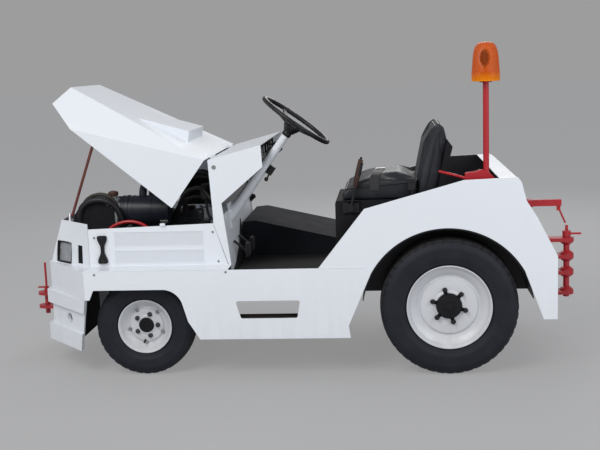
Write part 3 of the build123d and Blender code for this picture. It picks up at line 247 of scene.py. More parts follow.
softRubber = rubberLike("softRubber", (0.009, 0.009, 0.011), (0.022, 0.022, 0.024), 0.62, 240, 1.33)
blackPlastic = rubberLike("blackPlastic", (0.010, 0.010, 0.012), (0.020, 0.020, 0.022), 0.40, 700, 1.42)
coverRubber = rubberLike("coverRubber", (0.008, 0.009, 0.013), (0.016, 0.017, 0.023), 0.78, 220, 1.3)
mattBlack = rubberLike("mattBlack", (0.008, 0.008, 0.010), (0.018, 0.018, 0.020), 0.75, 300, 1.28)
drumPaint = rubberLike("drumPaint", (0.010, 0.013, 0.022), (0.022, 0.026, 0.038), 0.36, 500, 1.42)
hoseRubber = rubberLike("hoseRubber", (0.040, 0.033, 0.028), (0.085, 0.072, 0.062), 0.50, 400, 1.42)
capPlastic = rubberLike("capPlastic", (0.085, 0.036, 0.024), (0.12, 0.060, 0.045), 0.40, 500)
gripPlastic = rubberLike("gripPlastic", (0.034, 0.017, 0.013), (0.070, 0.032, 0.024), 0.45, 500, 1.4)
lampSilver = rubberLike("lampSilver", (0.62, 0.63, 0.66), (0.74, 0.75, 0.78), 0.30, 60)
lensBase = rubberLike("lensBase", (0.72, 0.24, 0.012), (0.80, 0.30, 0.02), 0.45, 60, 1.4)


# Tyre rubber: blue-black walls with a thin bloom, dust in the tread where the distance from a wheel's axle is
# large, and fine mould lines. Distance = sqrt((x - x0)^2 + (z - z0)^2), taken from whichever axle is nearer.
def tyreFinish():
    finish = Finish("tyreRubber", IOR=1.38)
    x, y, z = finish.axes()
    front = x.above(0.0)
    alongX = x - (front * 1.51 - 0.755)
    alongZ = z - (0.335 - front * 0.087)
    reach = (alongX * alongX + alongZ * alongZ) ** 0.5 + front * 0.087
    worn = finish.between(reach, 0.322, 0.333)
    bloom = finish.between(finish.noise(9, 5.0, 0.6), 0.38, 0.75)
    wall = finish.mix(bloom * 0.6, (0.007, 0.009, 0.015), (0.018, 0.021, 0.031))
    tread = finish.mix(finish.between(finish.noise(60, 4.0), 0.3, 0.7), (0.026, 0.023, 0.022), (0.058, 0.052, 0.048))
    finish.set(Base_Color=finish.mix(worn * 0.75, wall, tread), Roughness=(0.56 + bloom * 0.1 + worn * 0.2).clip())
    rings = (reach * 2400.0).sine() * 0.12
    return finish.bump(finish.noise(380, 4.0) + rings, 0.28, 0.0005).material


tyreRubber = tyreFinish()


# Seat vinyl: a pebble grain from small cells, with faint wear on the crowns.
def vinyl():
    finish = Finish("seatVinyl", IOR=1.42, Coat_Roughness=0.3)
    grain = finish.cells(430)
    wear = finish.between(finish.noise(7, 4.0), 0.45, 0.8)
    finish.set(Base_Color=finish.mix(wear, (0.010, 0.011, 0.015), (0.026, 0.028, 0.036)))
    finish.set(Roughness=(0.42 + wear * 0.12 + grain * 0.1).clip(), Coat_Weight=0.05)
    return finish.bump(grain + finish.noise(40, 3.0) * 0.8, 0.4, 0.0006).material


seatVinyl = vinyl()


# Webbing: a twill of ridges, sin(900 (x + y + z)) crossed by sin(900 (x - y - z)).
def webbingFinish():
    finish = Finish("webbing", IOR=1.45)
    x, y, z = finish.axes()
    twill = ((x + y + z) * 900.0).sine() * ((x - y - z) * 900.0).sine()
    finish.set(Base_Color=finish.mix(finish.between(twill, -0.4, 0.6), (0.010, 0.010, 0.012), (0.040, 0.040, 0.044)))
    finish.set(Roughness=0.62 + twill * 0.05)
    return finish.bump(twill, 0.5, 0.0006).material


webbing = webbingFinish()


# Tinted clear plastic: a share of light passes through, and the tint drifts between itself and four fifths of it.
def clearPlastic(name, tint, rough, share):
    finish = Finish(name, Transmission_Weight=share, IOR=1.46, Coat_Roughness=0.05)
    cloud = finish.noise(30, 3.0)
    finish.set(Base_Color=finish.mix(cloud * 0.4, tint, tuple(part * 0.8 for part in tint)))
    finish.set(Roughness=(rough + cloud * 0.06).clip(), Coat_Weight=0.5)
    return finish.material


lampLens = clearPlastic("lampLens", (0.80, 0.82, 0.86), 0.10, 0.80)
clearGlass = clearPlastic("clearGlass", (0.95, 0.96, 0.97), 0.03, 1.0)
tankPlastic = clearPlastic("tankPlastic", (0.46, 0.48, 0.50), 0.30, 0.30)


# Amber lens: a thin stained skin, seen through by 1 - alpha, more orange high up and yellower towards its rim, with
# a slight glow. It is seen through more in an oval window, ((x - x0) / a)^2 + ((z - z0) / b)^2 < 1.7, in front of
# the black mirror, so that the mirror's painted dark reflection shows there.
def amberFinish():
    finish = Finish("amberPlastic", IOR=1.28, Emission_Strength=0.05)
    x, y, z = finish.axes()
    low = finish.between(z, 1.455, 1.412)
    tint = finish.mix(low, (0.66, 0.105, 0.0005), (0.90, 0.30, 0.003))
    # More see-through in front of the mirror, to show its painted dark reflection.
    window = finish.between(((x + 0.925) * (1 / 0.021)) ** 2 + ((z - 1.520) * (1 / 0.038)) ** 2, 1.7, 0.5)
    alpha = (0.50 + low * 0.2 + finish.noise(30, 3.0) * 0.05 - window * 0.36).clip()
    finish.set(Base_Color=tint, Emission_Color=tint, Alpha=alpha)
    finish.set(Roughness=0.38 + finish.noise(60, 3.0) * 0.1)
    return finish.material


amberPlastic = amberFinish()


# Dim space behind the mesh: grey lattice shadows, cells of noise between two tones.
def shadeFinish():
    finish = Finish("meshShade", Roughness=0.8)
    tone = finish.between(finish.noise(70, 4.0), 0.3, 0.7)
    return finish.set(Base_Color=finish.mix(tone, (0.13, 0.125, 0.12), (0.19, 0.18, 0.17))).material


meshShade = shadeFinish()
print("stage: materials")


# Merges doubled points, joins flat faces, and shades smooth except across edges steeper than an angle.
def soften(mesh, angle, flatten, outward):
    shape = bmesh.new()
    shape.from_mesh(mesh)
    bmesh.ops.remove_doubles(shape, verts=shape.verts, dist=4e-6)
    if flatten:
        bmesh.ops.dissolve_limit(shape, angle_limit=math.radians(0.6), verts=shape.verts, edges=shape.edges)
    if outward:
        bmesh.ops.recalc_face_normals(shape, faces=shape.faces)
    for face in shape.faces:
        face.smooth = True
    for edge in shape.edges:
        edge.smooth = len(edge.link_faces) == 2 and edge.calc_face_angle(0.0) < math.radians(angle)
    shape.to_mesh(mesh)
    shape.free()


# Finishes a mesh as one piece: material, rounded edges, the body it rides on and the CAD nodes it stands for.
def makePiece(name, mesh, material, body="chassis", replaced=(), edge=0.0, segments=2, angle=35):
    mesh.materials.clear()
    mesh.materials.append(material)
    piece = bpy.data.objects.new(name, mesh)
    bpy.context.scene.collection.objects.link(piece)
    if edge:
        bevel = piece.modifiers.new("edges", "BEVEL")
        bevel.width = edge
        bevel.segments = segments
        bevel.limit_method = "ANGLE"
        bevel.angle_limit = math.radians(angle)
        bevel.harden_normals = True
    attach(piece, body)
    if replaced:
        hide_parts(*replaced)
    return piece


# A copy of a CAD node whose edges are rounded by a Bevel.
def dress(name, material, edge=0.0012, segments=2, angle=32):
    mesh = nodes[name].data.copy()
    soften(mesh, angle, True, False)
    return makePiece(name + "_skin", mesh, material, nodes[name]["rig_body"], (name,), edge, segments, angle)


class Form:
    # A mesh in the making: its points, and its faces as one whole array for each number of corners.
    def __init__(self, points, *faces):
        self.points = np.asarray(points, float).reshape(-1, 3)
        self.faces = [np.asarray(block, int) for block in faces]

    # A copy at each origin, turned by a 3 by 3 matrix: new = turn @ old + origin.
    def at(self, origins, turns=np.eye(3)):
        origins = np.asarray(origins, float).reshape(-1, 3)
        turns = np.broadcast_to(turns, (len(origins), 3, 3))
        points = np.einsum("kij,nj->kni", turns, self.points) + origins[:, None]
        shift = len(self.points) * np.arange(len(origins))[:, None, None]
        return Form(points, *[(block + shift).reshape(-1, block.shape[1]) for block in self.faces])

    def __add__(self, other):
        moved = [block + len(self.points) for block in other.faces]
        return Form(np.vstack((self.points, other.points)), *self.faces, *moved)

    # The form as a finished piece, its faces turned outwards.
    def piece(self, name, material, body="chassis", replaced=(), edge=0.0, segments=2, angle=35):
        mesh = bpy.data.meshes.new(name)
        mesh.from_pydata(self.points.tolist(), [], [face for block in self.faces for face in block.tolist()])
        soften(mesh, angle, False, True)
        return makePiece(name, mesh, material, body, replaced, edge, segments, angle)


# Turn that takes local z to a direction, with local y as near as can be to another.
def facing(normal, top=(0, 0, 1)):
    ahead = np.asarray(normal, float) / np.linalg.norm(normal)
    side = np.cross(top, ahead)
    side = side / np.linalg.norm(side)
    return np.column_stack((side, np.cross(ahead, side), ahead))


# Quads between neighbours on a grid of points, which may close on itself either way.
def woven(grid, closeRows=False, closeColumns=False):
    rows, columns = grid.shape[:2]
    i, j = np.meshgrid(np.arange(rows - (not closeRows)), np.arange(columns - (not closeColumns)), indexing="ij")
    k, l = (i + 1) % rows, (j + 1) % columns
    quads = np.stack((i * columns + j, k * columns + j, k * columns + l, i * columns + l), -1)
    return Form(grid, quads.reshape(-1, 4))


# A profile (r, h) turned about z: x = r cos a, y = r sin a, z = h.
def lathed(profile, segments=32, closed=False):
    r, h = np.asarray(profile, float).T
    a = np.linspace(0, 2 * np.pi, segments, endpoint=False)[:, None]
    return woven(np.stack((r * np.cos(a), r * np.sin(a), h + 0 * a), -1), True, closed)


# A box between two corners.
def boxed(low, high):
    corner = np.stack(np.meshgrid((0, 1), (0, 1), (0, 1), indexing="ij"), -1).reshape(-1, 3)
    points = np.asarray(low, float) + corner * (np.asarray(high, float) - low)
    return Form(points, [(0, 1, 3, 2), (4, 6, 7, 5), (0, 4, 5, 1), (2, 3, 7, 6), (0, 2, 6, 4), (1, 5, 7, 3)])


# An outline in x and y carried from one height to another.
def slab(outline, low, high):
    flat = np.asarray(outline, float)
    ring = np.arange(len(flat))
    points = np.vstack([np.column_stack((flat, np.full(len(flat), z))) for z in (low, high)])
    after = np.roll(ring, -1)
    walls = np.column_stack((ring, after, after + len(flat), ring + len(flat)))
    return Form(points, walls, [ring[::-1]], [ring + len(flat)])


# Corners c cut back to a and b and rounded: (1 - t)^2 a + 2 t (1 - t) c + t^2 b.
def rounded(outline, cut, steps=4):
    c = np.asarray(outline, float)
    before, after = np.roll(c, 1, 0) - c, np.roll(c, -1, 0) - c
    cut = np.broadcast_to(cut, len(c))[:, None]
    a = c + before * np.minimum(cut / np.linalg.norm(before, axis=1, keepdims=True), 0.48)
    b = c + after * np.minimum(cut / np.linalg.norm(after, axis=1, keepdims=True), 0.48)
    t = np.linspace(0, 1, steps + 1)[None, :, None]
    return ((1 - t) ** 2 * a[:, None] + 2 * t * (1 - t) * c[:, None] + t ** 2 * b[:, None]).reshape(-1, c.shape[1])


# A smooth curve through points: each span is the cubic whose end slopes are half the step between the neighbours.
def through(points, steps=8, closed=False):
    p = np.asarray(points, float)
    far = np.vstack((p[-1:], p, p[:2])) if closed else np.vstack((2 * p[:1] - p[1:2], p, 2 * p[-1:] - p[-2:-1]))
    t = (np.arange(steps) / steps)[None, :, None]
    a, b, c, d = (far[k:len(far) - 3 + k, None] for k in range(4))
    curve = 0.5 * (2 * b + (c - a) * t + (2 * a - 5 * b + 4 * c - d) * t ** 2 + (3 * b - a - 3 * c + d) * t ** 3)
    curve = curve.reshape(-1, p.shape[1])
    return curve if closed else np.vstack((curve, p[-1:]))


# Closes both ends of a tube that is woven from this many rings of points.
def capped(form, rings):
    size = len(form.points) // rings
    ring = np.arange(size)[None]
    form.faces += [ring[:, ::-1], ring + size * (rings - 1)]
    return form


# A round section r (cos a, sin a) carried along a path and square to it, one of its axes square to a normal.
def tube(path, radius, sides=12, normal=(0, 1, 0), closed=False):
    path = np.asarray(path, float)
    along = np.roll(path, -1, 0) - np.roll(path, 1, 0) if closed else np.gradient(path, axis=0)
    along /= np.linalg.norm(along, axis=1, keepdims=True)
    side = np.cross(along, normal)
    side /= np.linalg.norm(side, axis=1, keepdims=True)
    up = np.cross(side, along)
    a = np.linspace(0, 2 * np.pi, sides, endpoint=False)[None, :, None]
    r = np.broadcast_to(radius, len(path))[:, None, None]
    form = woven(path[:, None] + r * (np.cos(a) * side[:, None] + np.sin(a) * up[:, None]), closed, True)
    return form if closed else capped(form, len(path))


# Square bars from starts to ends, this wide across the normal and this deep along it.
def struts(starts, ends, width, depth, normal):
    starts, ends = np.asarray(starts, float), np.asarray(ends, float)
    along = (ends - starts) / np.linalg.norm(ends - starts, axis=1, keepdims=True)
    side = np.cross(np.broadcast_to(normal, along.shape), along)
    side *= width / 2 / np.linalg.norm(side, axis=1, keepdims=True)
    out = np.asarray(normal, float) / np.linalg.norm(normal) * depth / 2
    box = boxed((0, 0, 0), (1, 1, 1))
    corner = box.points[None]
    base = starts[:, None] + corner[..., :1] * (ends - starts)[:, None]
    points = base + (2 * corner[..., 1:2] - 1) * side[:, None] + (2 * corner[..., 2:] - 1) * out
    shift = 8 * np.arange(len(starts))[:, None, None]
    return Form(points, (box.faces[0] + shift).reshape(-1, 4))


# Hexagon head on a washer, standing on z = 0: a profile turned in six steps, over one turned in twenty.
def hexBolt(size, height):
    head = [(0, height), (size * 0.42, height), (size * 0.5, height * 0.82), (size * 0.5, 0), (0, 0)]
    washer = [(0, height * 0.22), (size * 0.68, height * 0.22), (size * 0.72, height * 0.14), (size * 0.72, 0), (0, 0)]
    return lathed(head, 6) + lathed(washer, 20)


# Round head with a socket in its crown, standing on z = 0.
def domeScrew(r, height):
    return lathed([
        (0, height * 0.35), (r * 0.36, height * 0.35), (r * 0.40, height * 0.96), (r * 0.62, height),
        (r * 0.88, height * 0.66), (r, height * 0.2), (r, 0), (0, 0),
    ], 18)


# Band round a hose or pipe with its screw housing: a short lathe along z and a small box on its side.
def hoseClamp(r, width):
    band = lathed([(r, -width / 2), (r + 0.0014, -width / 2), (r + 0.0014, width / 2), (r, width / 2)], 24, True)
    housing = boxed((r - 0.001, -0.007, -width * 0.62), (r + 0.007, 0.007, width * 0.62))
    screw = lathed([(0, -0.010), (0.0042, -0.010), (0.0042, 0.010), (0, 0.010)], 10)
    return band + housing + screw.at((r + 0.006, 0, 0), facing((0, 1, 0)))


# Several forms as one.
def joined(forms):
    total = forms[0]
    for form in forms[1:]:
        total = total + form
    return total


# A rectangle with rounded corners, between two of them, or about its own middle where only one is given.
def oblong(high, cut, low=None):
    (x1, y1), (x0, y0) = high, low or (-high[0], -high[1])
    return rounded([(x0, y0), (x1, y0), (x1, y1), (x0, y1)], cut)


# A sheet between two grids of points, closed along their borders.
def sheetBetween(face, rear):
    rims = [np.concatenate((grid[:, 0], grid[-1, 1:], grid[-2::-1, -1], grid[0, -2:0:-1])) for grid in (face, rear)]
    return woven(face) + woven(rear[::-1]) + woven(np.stack(rims), False, True)


# Points round z: (r cos a, r sin a, height).
def circled(r, angles, height=0.0):
    return np.column_stack((r * np.cos(angles), r * np.sin(angles), 0 * angles + height))


# Ribs along x, one for each y, standing at one height.
def ribbed(x0, x1, y, height, width, depth):
    ends = [np.column_stack((0 * y + x, y, 0 * y + height)) for x in (x0, x1)]
    return struts(ends[0], ends[1], width, depth, (0, 0, 1))


# Cords as one piece: for each radius and list of points, a round section along a smooth path through them.
def cords(name, material, sides, normal, runs, steps=8):
    joined([tube(through(points, steps), radius, sides, normal) for radius, points in runs]).piece(name, material)


# What is mirrored has a hand and the sign of its y. The turn stands an outline up, from x and y to x and z.
hands = (("left", 1), ("right", -1))
upright = np.array([[1, 0, 0], [0, 0, -1], [0, 1, 0]])


painted = {
    platePaint: "side_plate_left side_plate_right",
    cowlPaintWithShade: "cowl", toePaintWithShade: "bulkhead",
    whitePaint: "front_panel engine_panels rear_panel hood bumper steering_column",
    blackPaint: "chassis_frame cross_members wheel_houses rear_axle front_axle knuckle_left knuckle_right tie_rod "
                "pedals brake_lever",
    mattBlack: "dash rear_deck seat_box radiator",
    redPaint: "front_hitch rear_hitch hitch_pin release_arm",
    coverRubber: "gearbox_cover", castIron: "engine", drumPaint: "air_cleaner", blackPlastic: "radiator_hose",
    tankPlastic: "coolant_tank", rustyRed: "hood_prop",
}
for material, names in painted.items():
    for name in names.split():
        dress(name, material)
print("stage: CAD nodes dressed")


wheels = {
    # x, y, tyre radius, tyre width, rim radius, lugs, first lug's angle, lug circle, hub radius
    "front": (0.755, 0.480, 0.248, 0.148, 0.134, 5, -1, 0.057, 0.036),
    "rear": (-0.755, 0.503, 0.335, 0.188, 0.204, 6, -16, 0.082, 0.061),
    "pitches": {"front": 36, "rear": 44}, "treadDepth": 0.0060, "shoulderDepth": 0.0022, "rimShare": 0.74,
    "discIn": 0.044, "valveCircle": 0.080, "valveTurn": 262, "boltCircle": 0.0865, "boltTurn": 50,
}


# Tyre: a closed section (r, h) turned about z. Grooves are taken from r where the share of half the tread is near
# their centres, and shoulder cuts where the turn's phase is in the first third of each pitch.
def tyreForm(radius, width, rim, pitches):
    half, wall = width / 2, radius - rim
    knots = [
        (rim - 0.008, 0.735 * half), (rim + 0.004, 0.745 * half), (rim + 0.12 * wall, 0.85 * half),
        (rim + 0.3 * wall, 0.955 * half), (rim + 0.54 * wall, half), (rim + 0.74 * wall, 0.975 * half),
        (rim + 0.89 * wall, 0.885 * half), (radius - 0.0035, 0.745 * half),
    ]
    side = through(knots, 6)[:-1]
    level = (side[:, 0] - rim) / wall
    # Rings of the wall, as bells about their levels, and a raised band between two smooth steps.
    bells = [height * np.exp(-(((level - spot) / spread) ** 2)) for height, spot, spread in (
        (0.0026, 0.1, 0.035), (0.0012, 0.3, 0.018), (0.0012, 0.36, 0.018))]
    low, high = (1 / (1 + np.exp(-(level - spot) / 0.008)) for spot in (0.60, 0.74))
    side[:, 1] += sum(bells) + 0.0014 * (low - high) - 0.0016
    centres = np.array([-0.62, -0.22, 0.22, 0.62])
    edges = (centres[:, None] + np.array([-0.075, -0.055, 0.055, 0.075])).ravel()
    share = np.sort(np.concatenate((edges, [-1, -0.9, -0.8, -0.42, 0, 0.42, 0.8, 0.9, 1])))
    sunk = (np.abs(share[:, None] - centres).min(1) < 0.06).astype(float)
    inner = 0.745 * half
    tread = np.column_stack((radius - 0.0035 * share ** 2, -share * inner))
    r = np.concatenate((side[:, 0], tread[:, 0], side[::-1, 0]))
    h = np.concatenate((side[:, 1], tread[:, 1], -side[::-1, 1]))
    groove = np.concatenate((0 * level, sunk, 0 * level))
    fade = np.clip((level - 0.84) / 0.08, 0, 1)
    shoulder = np.concatenate((fade, (np.abs(share) > 0.66).astype(float), fade[::-1]))
    sway = np.concatenate((0 * level, np.where(np.abs(share) < 0.35, 0.035, 0.0) * inner, 0 * level))
    phase = np.tile([0.0, 0.04, 0.30, 0.34, 0.67], pitches)
    cut = np.tile([0.0, 1.0, 1.0, 0.0, 0.0], pitches)
    turn = (np.repeat(np.arange(pitches), 5) + phase) / pitches * 2 * np.pi
    skew = 0.35 / pitches * 2 * np.pi * np.abs(np.clip(h / inner, -1, 1))
    angle = turn[:, None] + skew[None]
    depth = np.maximum(wheels["treadDepth"] * groove[None], wheels["shoulderDepth"] * cut[:, None] * shoulder[None])
    reach = r[None] - depth
    height = h[None] + sway[None] * np.cos(2 * np.pi * phase)[:, None]
    return woven(np.stack((reach * np.cos(angle), reach * np.sin(angle), height), -1), True, True)


# Rim: a closed section (r, h) turned about z, from the rolled flange down the ledge to the disc, and back.
def rimForm(width, rim, hub, end):
    half = width / 2 * wheels["rimShare"]
    bead = rim - 0.0083
    disc = half - wheels["discIn"]
    foot = bead - 0.047 if end == "rear" else bead - 0.032
    front = [
        (rim + 0.002, half + 0.0005), (rim + 0.002, half + 0.0072), (rim - 0.0015, half + 0.008),
        (rim - 0.0048, half + 0.0052), (bead - 0.0035, half - 0.004), (bead - 0.007, half - 0.014),
        (foot + 0.020, disc + 0.020), (foot + 0.009, disc + 0.010), (foot + 0.004, disc + 0.004),
        (foot - 0.002, disc + 0.002), (foot - 0.007, disc + 0.0045), (foot - 0.011, disc + 0.0105),
        (foot - 0.016, disc + 0.0120), (hub + 0.016, disc + 0.0105), (hub + 0.010, disc + 0.014),
        (hub - 0.004, disc + 0.0142),
    ]
    back = [
        (hub - 0.004, disc + 0.001), (foot - 0.014, disc + 0.001), (foot + 0.004, disc - 0.006),
        (bead - 0.017, disc - 0.008), (bead - 0.019, -0.006), (bead - 0.006, -half), (bead - 0.004, -half - 0.008),
        (rim + 0.002, -half - 0.0078), (rim + 0.002, -half - 0.0005), (bead, -half - 0.0005),
        (bead - 0.002, -half + 0.012), (bead - 0.014, -0.004), (bead - 0.014, 0.006), (bead - 0.002, half - 0.012),
        (bead, half + 0.0004),
    ]
    return lathed(front + back, 96, True)


# Hub: a disc whose outline reaches out to each lug as a sum of narrow bells where it has arms, a turned boss, its
# cap and eight studs. The wheel's nuts are a form of their own.
def hubForm(end, disc, lugs, first, circle, hub):
    a = np.linspace(0, 2 * np.pi, 180, endpoint=False)
    spots = np.radians(first + 360 / lugs * np.arange(lugs))
    gap = np.abs((a[:, None] - spots + np.pi) % (2 * np.pi) - np.pi)
    arms = (circle + 0.004 - hub) * np.exp(-((gap * circle / 0.0095) ** 4)).sum(1) if end == "rear" else 0 * a
    reach = hub + 0.002 + arms
    flange = slab(np.column_stack((reach * np.cos(a), reach * np.sin(a))), disc + 0.010, disc + 0.0175)
    top = disc + (0.047 if end == "rear" else 0.019)
    boss = [
        (0, top), (hub * 0.28, top), (hub * 0.32, top - 0.003), (hub * 0.60, top - 0.004),
        (hub * 0.74, top - 0.008), (hub * 0.86, top - 0.009), (hub * 0.93, top - 0.013), (hub, disc + 0.017),
        (hub, disc + 0.009), (0, disc + 0.009),
    ]
    cap = [(0, top + 0.003), (hub * 0.16, top + 0.003), (hub * 0.24, top), (hub * 0.24, top - 0.006), (0, top - 0.006)]
    studs = hexBolt(0.009, 0.004).at(circled(hub * 0.46, np.arange(8) * np.pi / 4 + 0.2, top - 0.004))
    form = flange + lathed(boss, 48) + lathed(cap, 24) + studs
    nut = lathed([
        (0, 0.020), (0.0052, 0.020), (0.0052, 0.0128), (0.0086, 0.0122), (0.0106, 0.0098), (0.0106, 0.003),
        (0.0130, 0), (0, 0),
    ], 12)
    return form, nut.at(circled(circle, spots, disc + (0.0175 if end == "rear" else 0.0115)))


# Each wheel lies at (x, y, tyre radius), with local z turned to the outside.
for end in ("front", "rear"):
    x, y, radius, width, rim, lugs, first, circle, hub = wheels[end]
    tyreShape = tyreForm(radius, width, rim, wheels["pitches"][end])
    rimShape = rimForm(width, rim, hub, end)
    disc = width / 2 * wheels["rimShare"] - wheels["discIn"]
    hubShape, nutShape = hubForm(end, disc, lugs, first, circle, hub)
    stem = tube([(0, 0, -0.004), (0, -0.002, 0.012), (0, -0.006, 0.026)], [0.006, 0.0045, 0.0042], 12, (1, 0, 0))
    valve = stem.at(circled(wheels["valveCircle"], np.radians([wheels["valveTurn"]]), disc + 0.012))
    for hand, side in hands:
        spot, turn, body = (x, side * y, radius), facing((0, side, 0)), f"wheel_{end}_{hand}"
        tyreShape.at(spot, turn).piece(f"tyre_{end}_{hand}_tread", tyreRubber, body, (f"tyre_{end}_{hand}",), angle=40)
        rimShape.at(spot, turn).piece(f"rim_{end}_{hand}_dish", wheelPaint, body, (f"rim_{end}_{hand}",), angle=28)
        hubShape.at(spot, turn).piece(f"hub_{end}_{hand}", mattBlack, body, edge=0.0008, angle=30)
        metal = blackPaint if end == "rear" else castIron
        nutShape.at(spot, turn).piece(f"wheel_nuts_{end}_{hand}", metal, body, edge=0.0003, angle=30)
        if end == "front":
            valve.at(spot, turn).piece(f"valve_{end}_{hand}", softRubber, body)
            ring = np.radians(first + wheels["boltTurn"] + 72 * np.arange(5))
            bolts = hexBolt(0.013, 0.006).at(circled(wheels["boltCircle"], ring, disc + 0.0125))
            bolts.at(spot, turn).piece(f"rim_bolts_front_{hand}", zincSteel, body)
print("stage: wheels")


seat = {
    "voxel": 0.006, "drawnIn": 0.985, "pressure": 4.0, "frames": 20, "smoothing": 14, "relaxing": 9,
    "cushionCap": 0.024, "backCap": 0.016, "piping": 0.0034, "beltWidth": 0.046,
    # x, z and slope of the cushion's seam; x and z of the back's foot, and of the way that its front faces
    "seam": (-0.247, 0.915, -0.075), "backFoot": (-0.612, 0.8583), "backFacing": (0.9781, 0.2079), "backSeam": 0.030,
}


# Nearest points of a finished mesh to a path, each pushed out along the surface by a lift.
def hug(piece, path, lift):
    graph = bpy.context.evaluated_depsgraph_get()
    tree = BVHTree.FromObject(piece, graph)
    hits = [tree.find_nearest(Vector(point)) for point in path]
    return np.array([spot + normal * lift for spot, normal, index, distance in hits])


# A mesh's points as one array.
def pointsOf(mesh):
    flat = np.empty(len(mesh.vertices) * 3)
    mesh.vertices.foreach_get("co", flat)
    return flat.reshape(-1, 3)


# Swells a pad as a cloth bag under air pressure. Points where the sewn mask is true stay put, and no other point
# moves further than the cap: new = old + move min(1, cap / length of move).
def swell(pad, sewn, cap):
    start = pointsOf(pad.data)
    group = pad.vertex_groups.new(name="sewn")
    group.add(np.flatnonzero(sewn(start)).tolist(), 1.0, "REPLACE")
    cloth = pad.modifiers.new("air", "CLOTH")
    cloth.settings.quality = 5
    cloth.settings.mass = 0.3
    cloth.settings.tension_stiffness = 12
    cloth.settings.compression_stiffness = 12
    cloth.settings.bending_stiffness = 0.6
    cloth.settings.use_pressure = True
    cloth.settings.uniform_pressure_force = seat["pressure"]
    cloth.settings.vertex_group_mass = "sewn"
    cloth.settings.effector_weights.gravity = 0
    cloth.collision_settings.use_collision = False
    cloth.point_cache.frame_end = seat["frames"]
    for frameNumber in range(1, seat["frames"] + 1):
        bpy.context.scene.frame_set(frameNumber)
    graph = bpy.context.evaluated_depsgraph_get()
    move = pointsOf(pad.evaluated_get(graph).data) - start
    move *= np.minimum(1, cap / np.maximum(np.linalg.norm(move, axis=1, keepdims=True), 1e-9))
    pad.modifiers.remove(cloth)
    pad.vertex_groups.clear()
    pad.data.vertices.foreach_set("co", (start + move).ravel())
    bpy.context.scene.frame_set(1)


# A pad: the CAD solid, drawn in a little about its middle, remeshed and smoothed, then swollen as cloth.
def swollenPad(name, node, sewn, cap, shift):
    mesh = nodes[node].data.copy()
    soften(mesh, 30, False, False)
    points = pointsOf(mesh)
    middle = (points.min(0) + points.max(0)) / 2
    mesh.vertices.foreach_set("co", (middle + (points - middle) * seat["drawnIn"] + shift).ravel())
    rough = bpy.data.objects.new(name + "_start", mesh)
    bpy.context.scene.collection.objects.link(rough)
    remesh = rough.modifiers.new("remesh", "REMESH")
    remesh.mode = "VOXEL"
    remesh.voxel_size = seat["voxel"]
    smooth = rough.modifiers.new("smooth", "SMOOTH")
    smooth.factor = 0.5
    smooth.iterations = seat["smoothing"]
    graph = bpy.context.evaluated_depsgraph_get()
    padMesh = bpy.data.meshes.new_from_object(rough.evaluated_get(graph))
    bpy.data.objects.remove(rough)
    pad = makePiece(name, padMesh, seatVinyl, nodes[node]["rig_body"], (node,))
    swell(pad, sewn, cap)
    padMesh.polygons.foreach_set("use_smooth", np.ones(len(padMesh.polygons), bool))
    padMesh.update()
    relax = pad.modifiers.new("relax", "SMOOTH")
    relax.factor = 0.5
    relax.iterations = seat["relaxing"]
    finer = pad.modifiers.new("finer", "SUBSURF")
    finer.levels = finer.render_levels = 1
    return pad


# Height of the cushion's seam: z = z0 + (x - x0) slope, level with the front's edge and rising to the back.
def seamHeight(x):
    x0, z0, slope = seat["seam"]
    return z0 + (x - x0) * slope


# Seams of the cushion: its flat foot, and the line round its side.
def cushionSewn(p):
    return (p[:, 2] < 0.868) | (np.abs(p[:, 2] - seamHeight(p[:, 0])) < 0.0045)


# Depth in the back, measured square to its front: minus the place's share along the way that the front faces.
def backDepth(p):
    (x0, z0), (ahead, rise) = seat["backFoot"], seat["backFacing"]
    return (p[:, 0] - x0) * -ahead + (p[:, 2] - z0) * -rise


# Seams of the back: one line round its side a third of the way through, its rear face and its foot.
def backSewn(p):
    depth = backDepth(p)
    return (np.abs(depth - seat["backSeam"]) < 0.0042) | (depth > 0.078) | (p[:, 2] < 0.885)


cushion = swollenPad("seat_cushion_pad", "seat_cushion", cushionSewn, seat["cushionCap"], (0, 0, 0))
backRest = swollenPad("seat_back_pad", "seat_back", backSewn, seat["backCap"], (0.006, 0, 0.008))


# Piping: round cord laid along the seams, found by dropping a rounded ring onto each pad. On the back a point is
# foot + up the front - depth of the seam.
def layPiping():
    ring = through(rounded([(-0.262, 0.052), (-0.262, 0.503), (-0.606, 0.503), (-0.606, 0.052)], 0.03, 6), 4, True)
    ring = np.column_stack((ring, seamHeight(ring[:, 0])))
    cord = tube(hug(cushion, ring, 0.0012), seat["piping"], 8, (0, 0, 1), True)
    (x0, z0), (ahead, rise), depth = seat["backFoot"], seat["backFacing"], seat["backSeam"]
    up, y = through(rounded([(0.03, 0.058), (0.03, 0.497), (0.352, 0.497), (0.352, 0.058)], 0.05, 6), 4, True).T
    loop = np.column_stack((x0 - rise * up - ahead * depth, y, z0 + ahead * up - rise * depth))
    backCord = tube(hug(backRest, loop, 0.0012), seat["piping"], 8, (ahead, 0, rise), True)
    (cord + backCord).piece("seat_piping", blackPlastic)


layPiping()


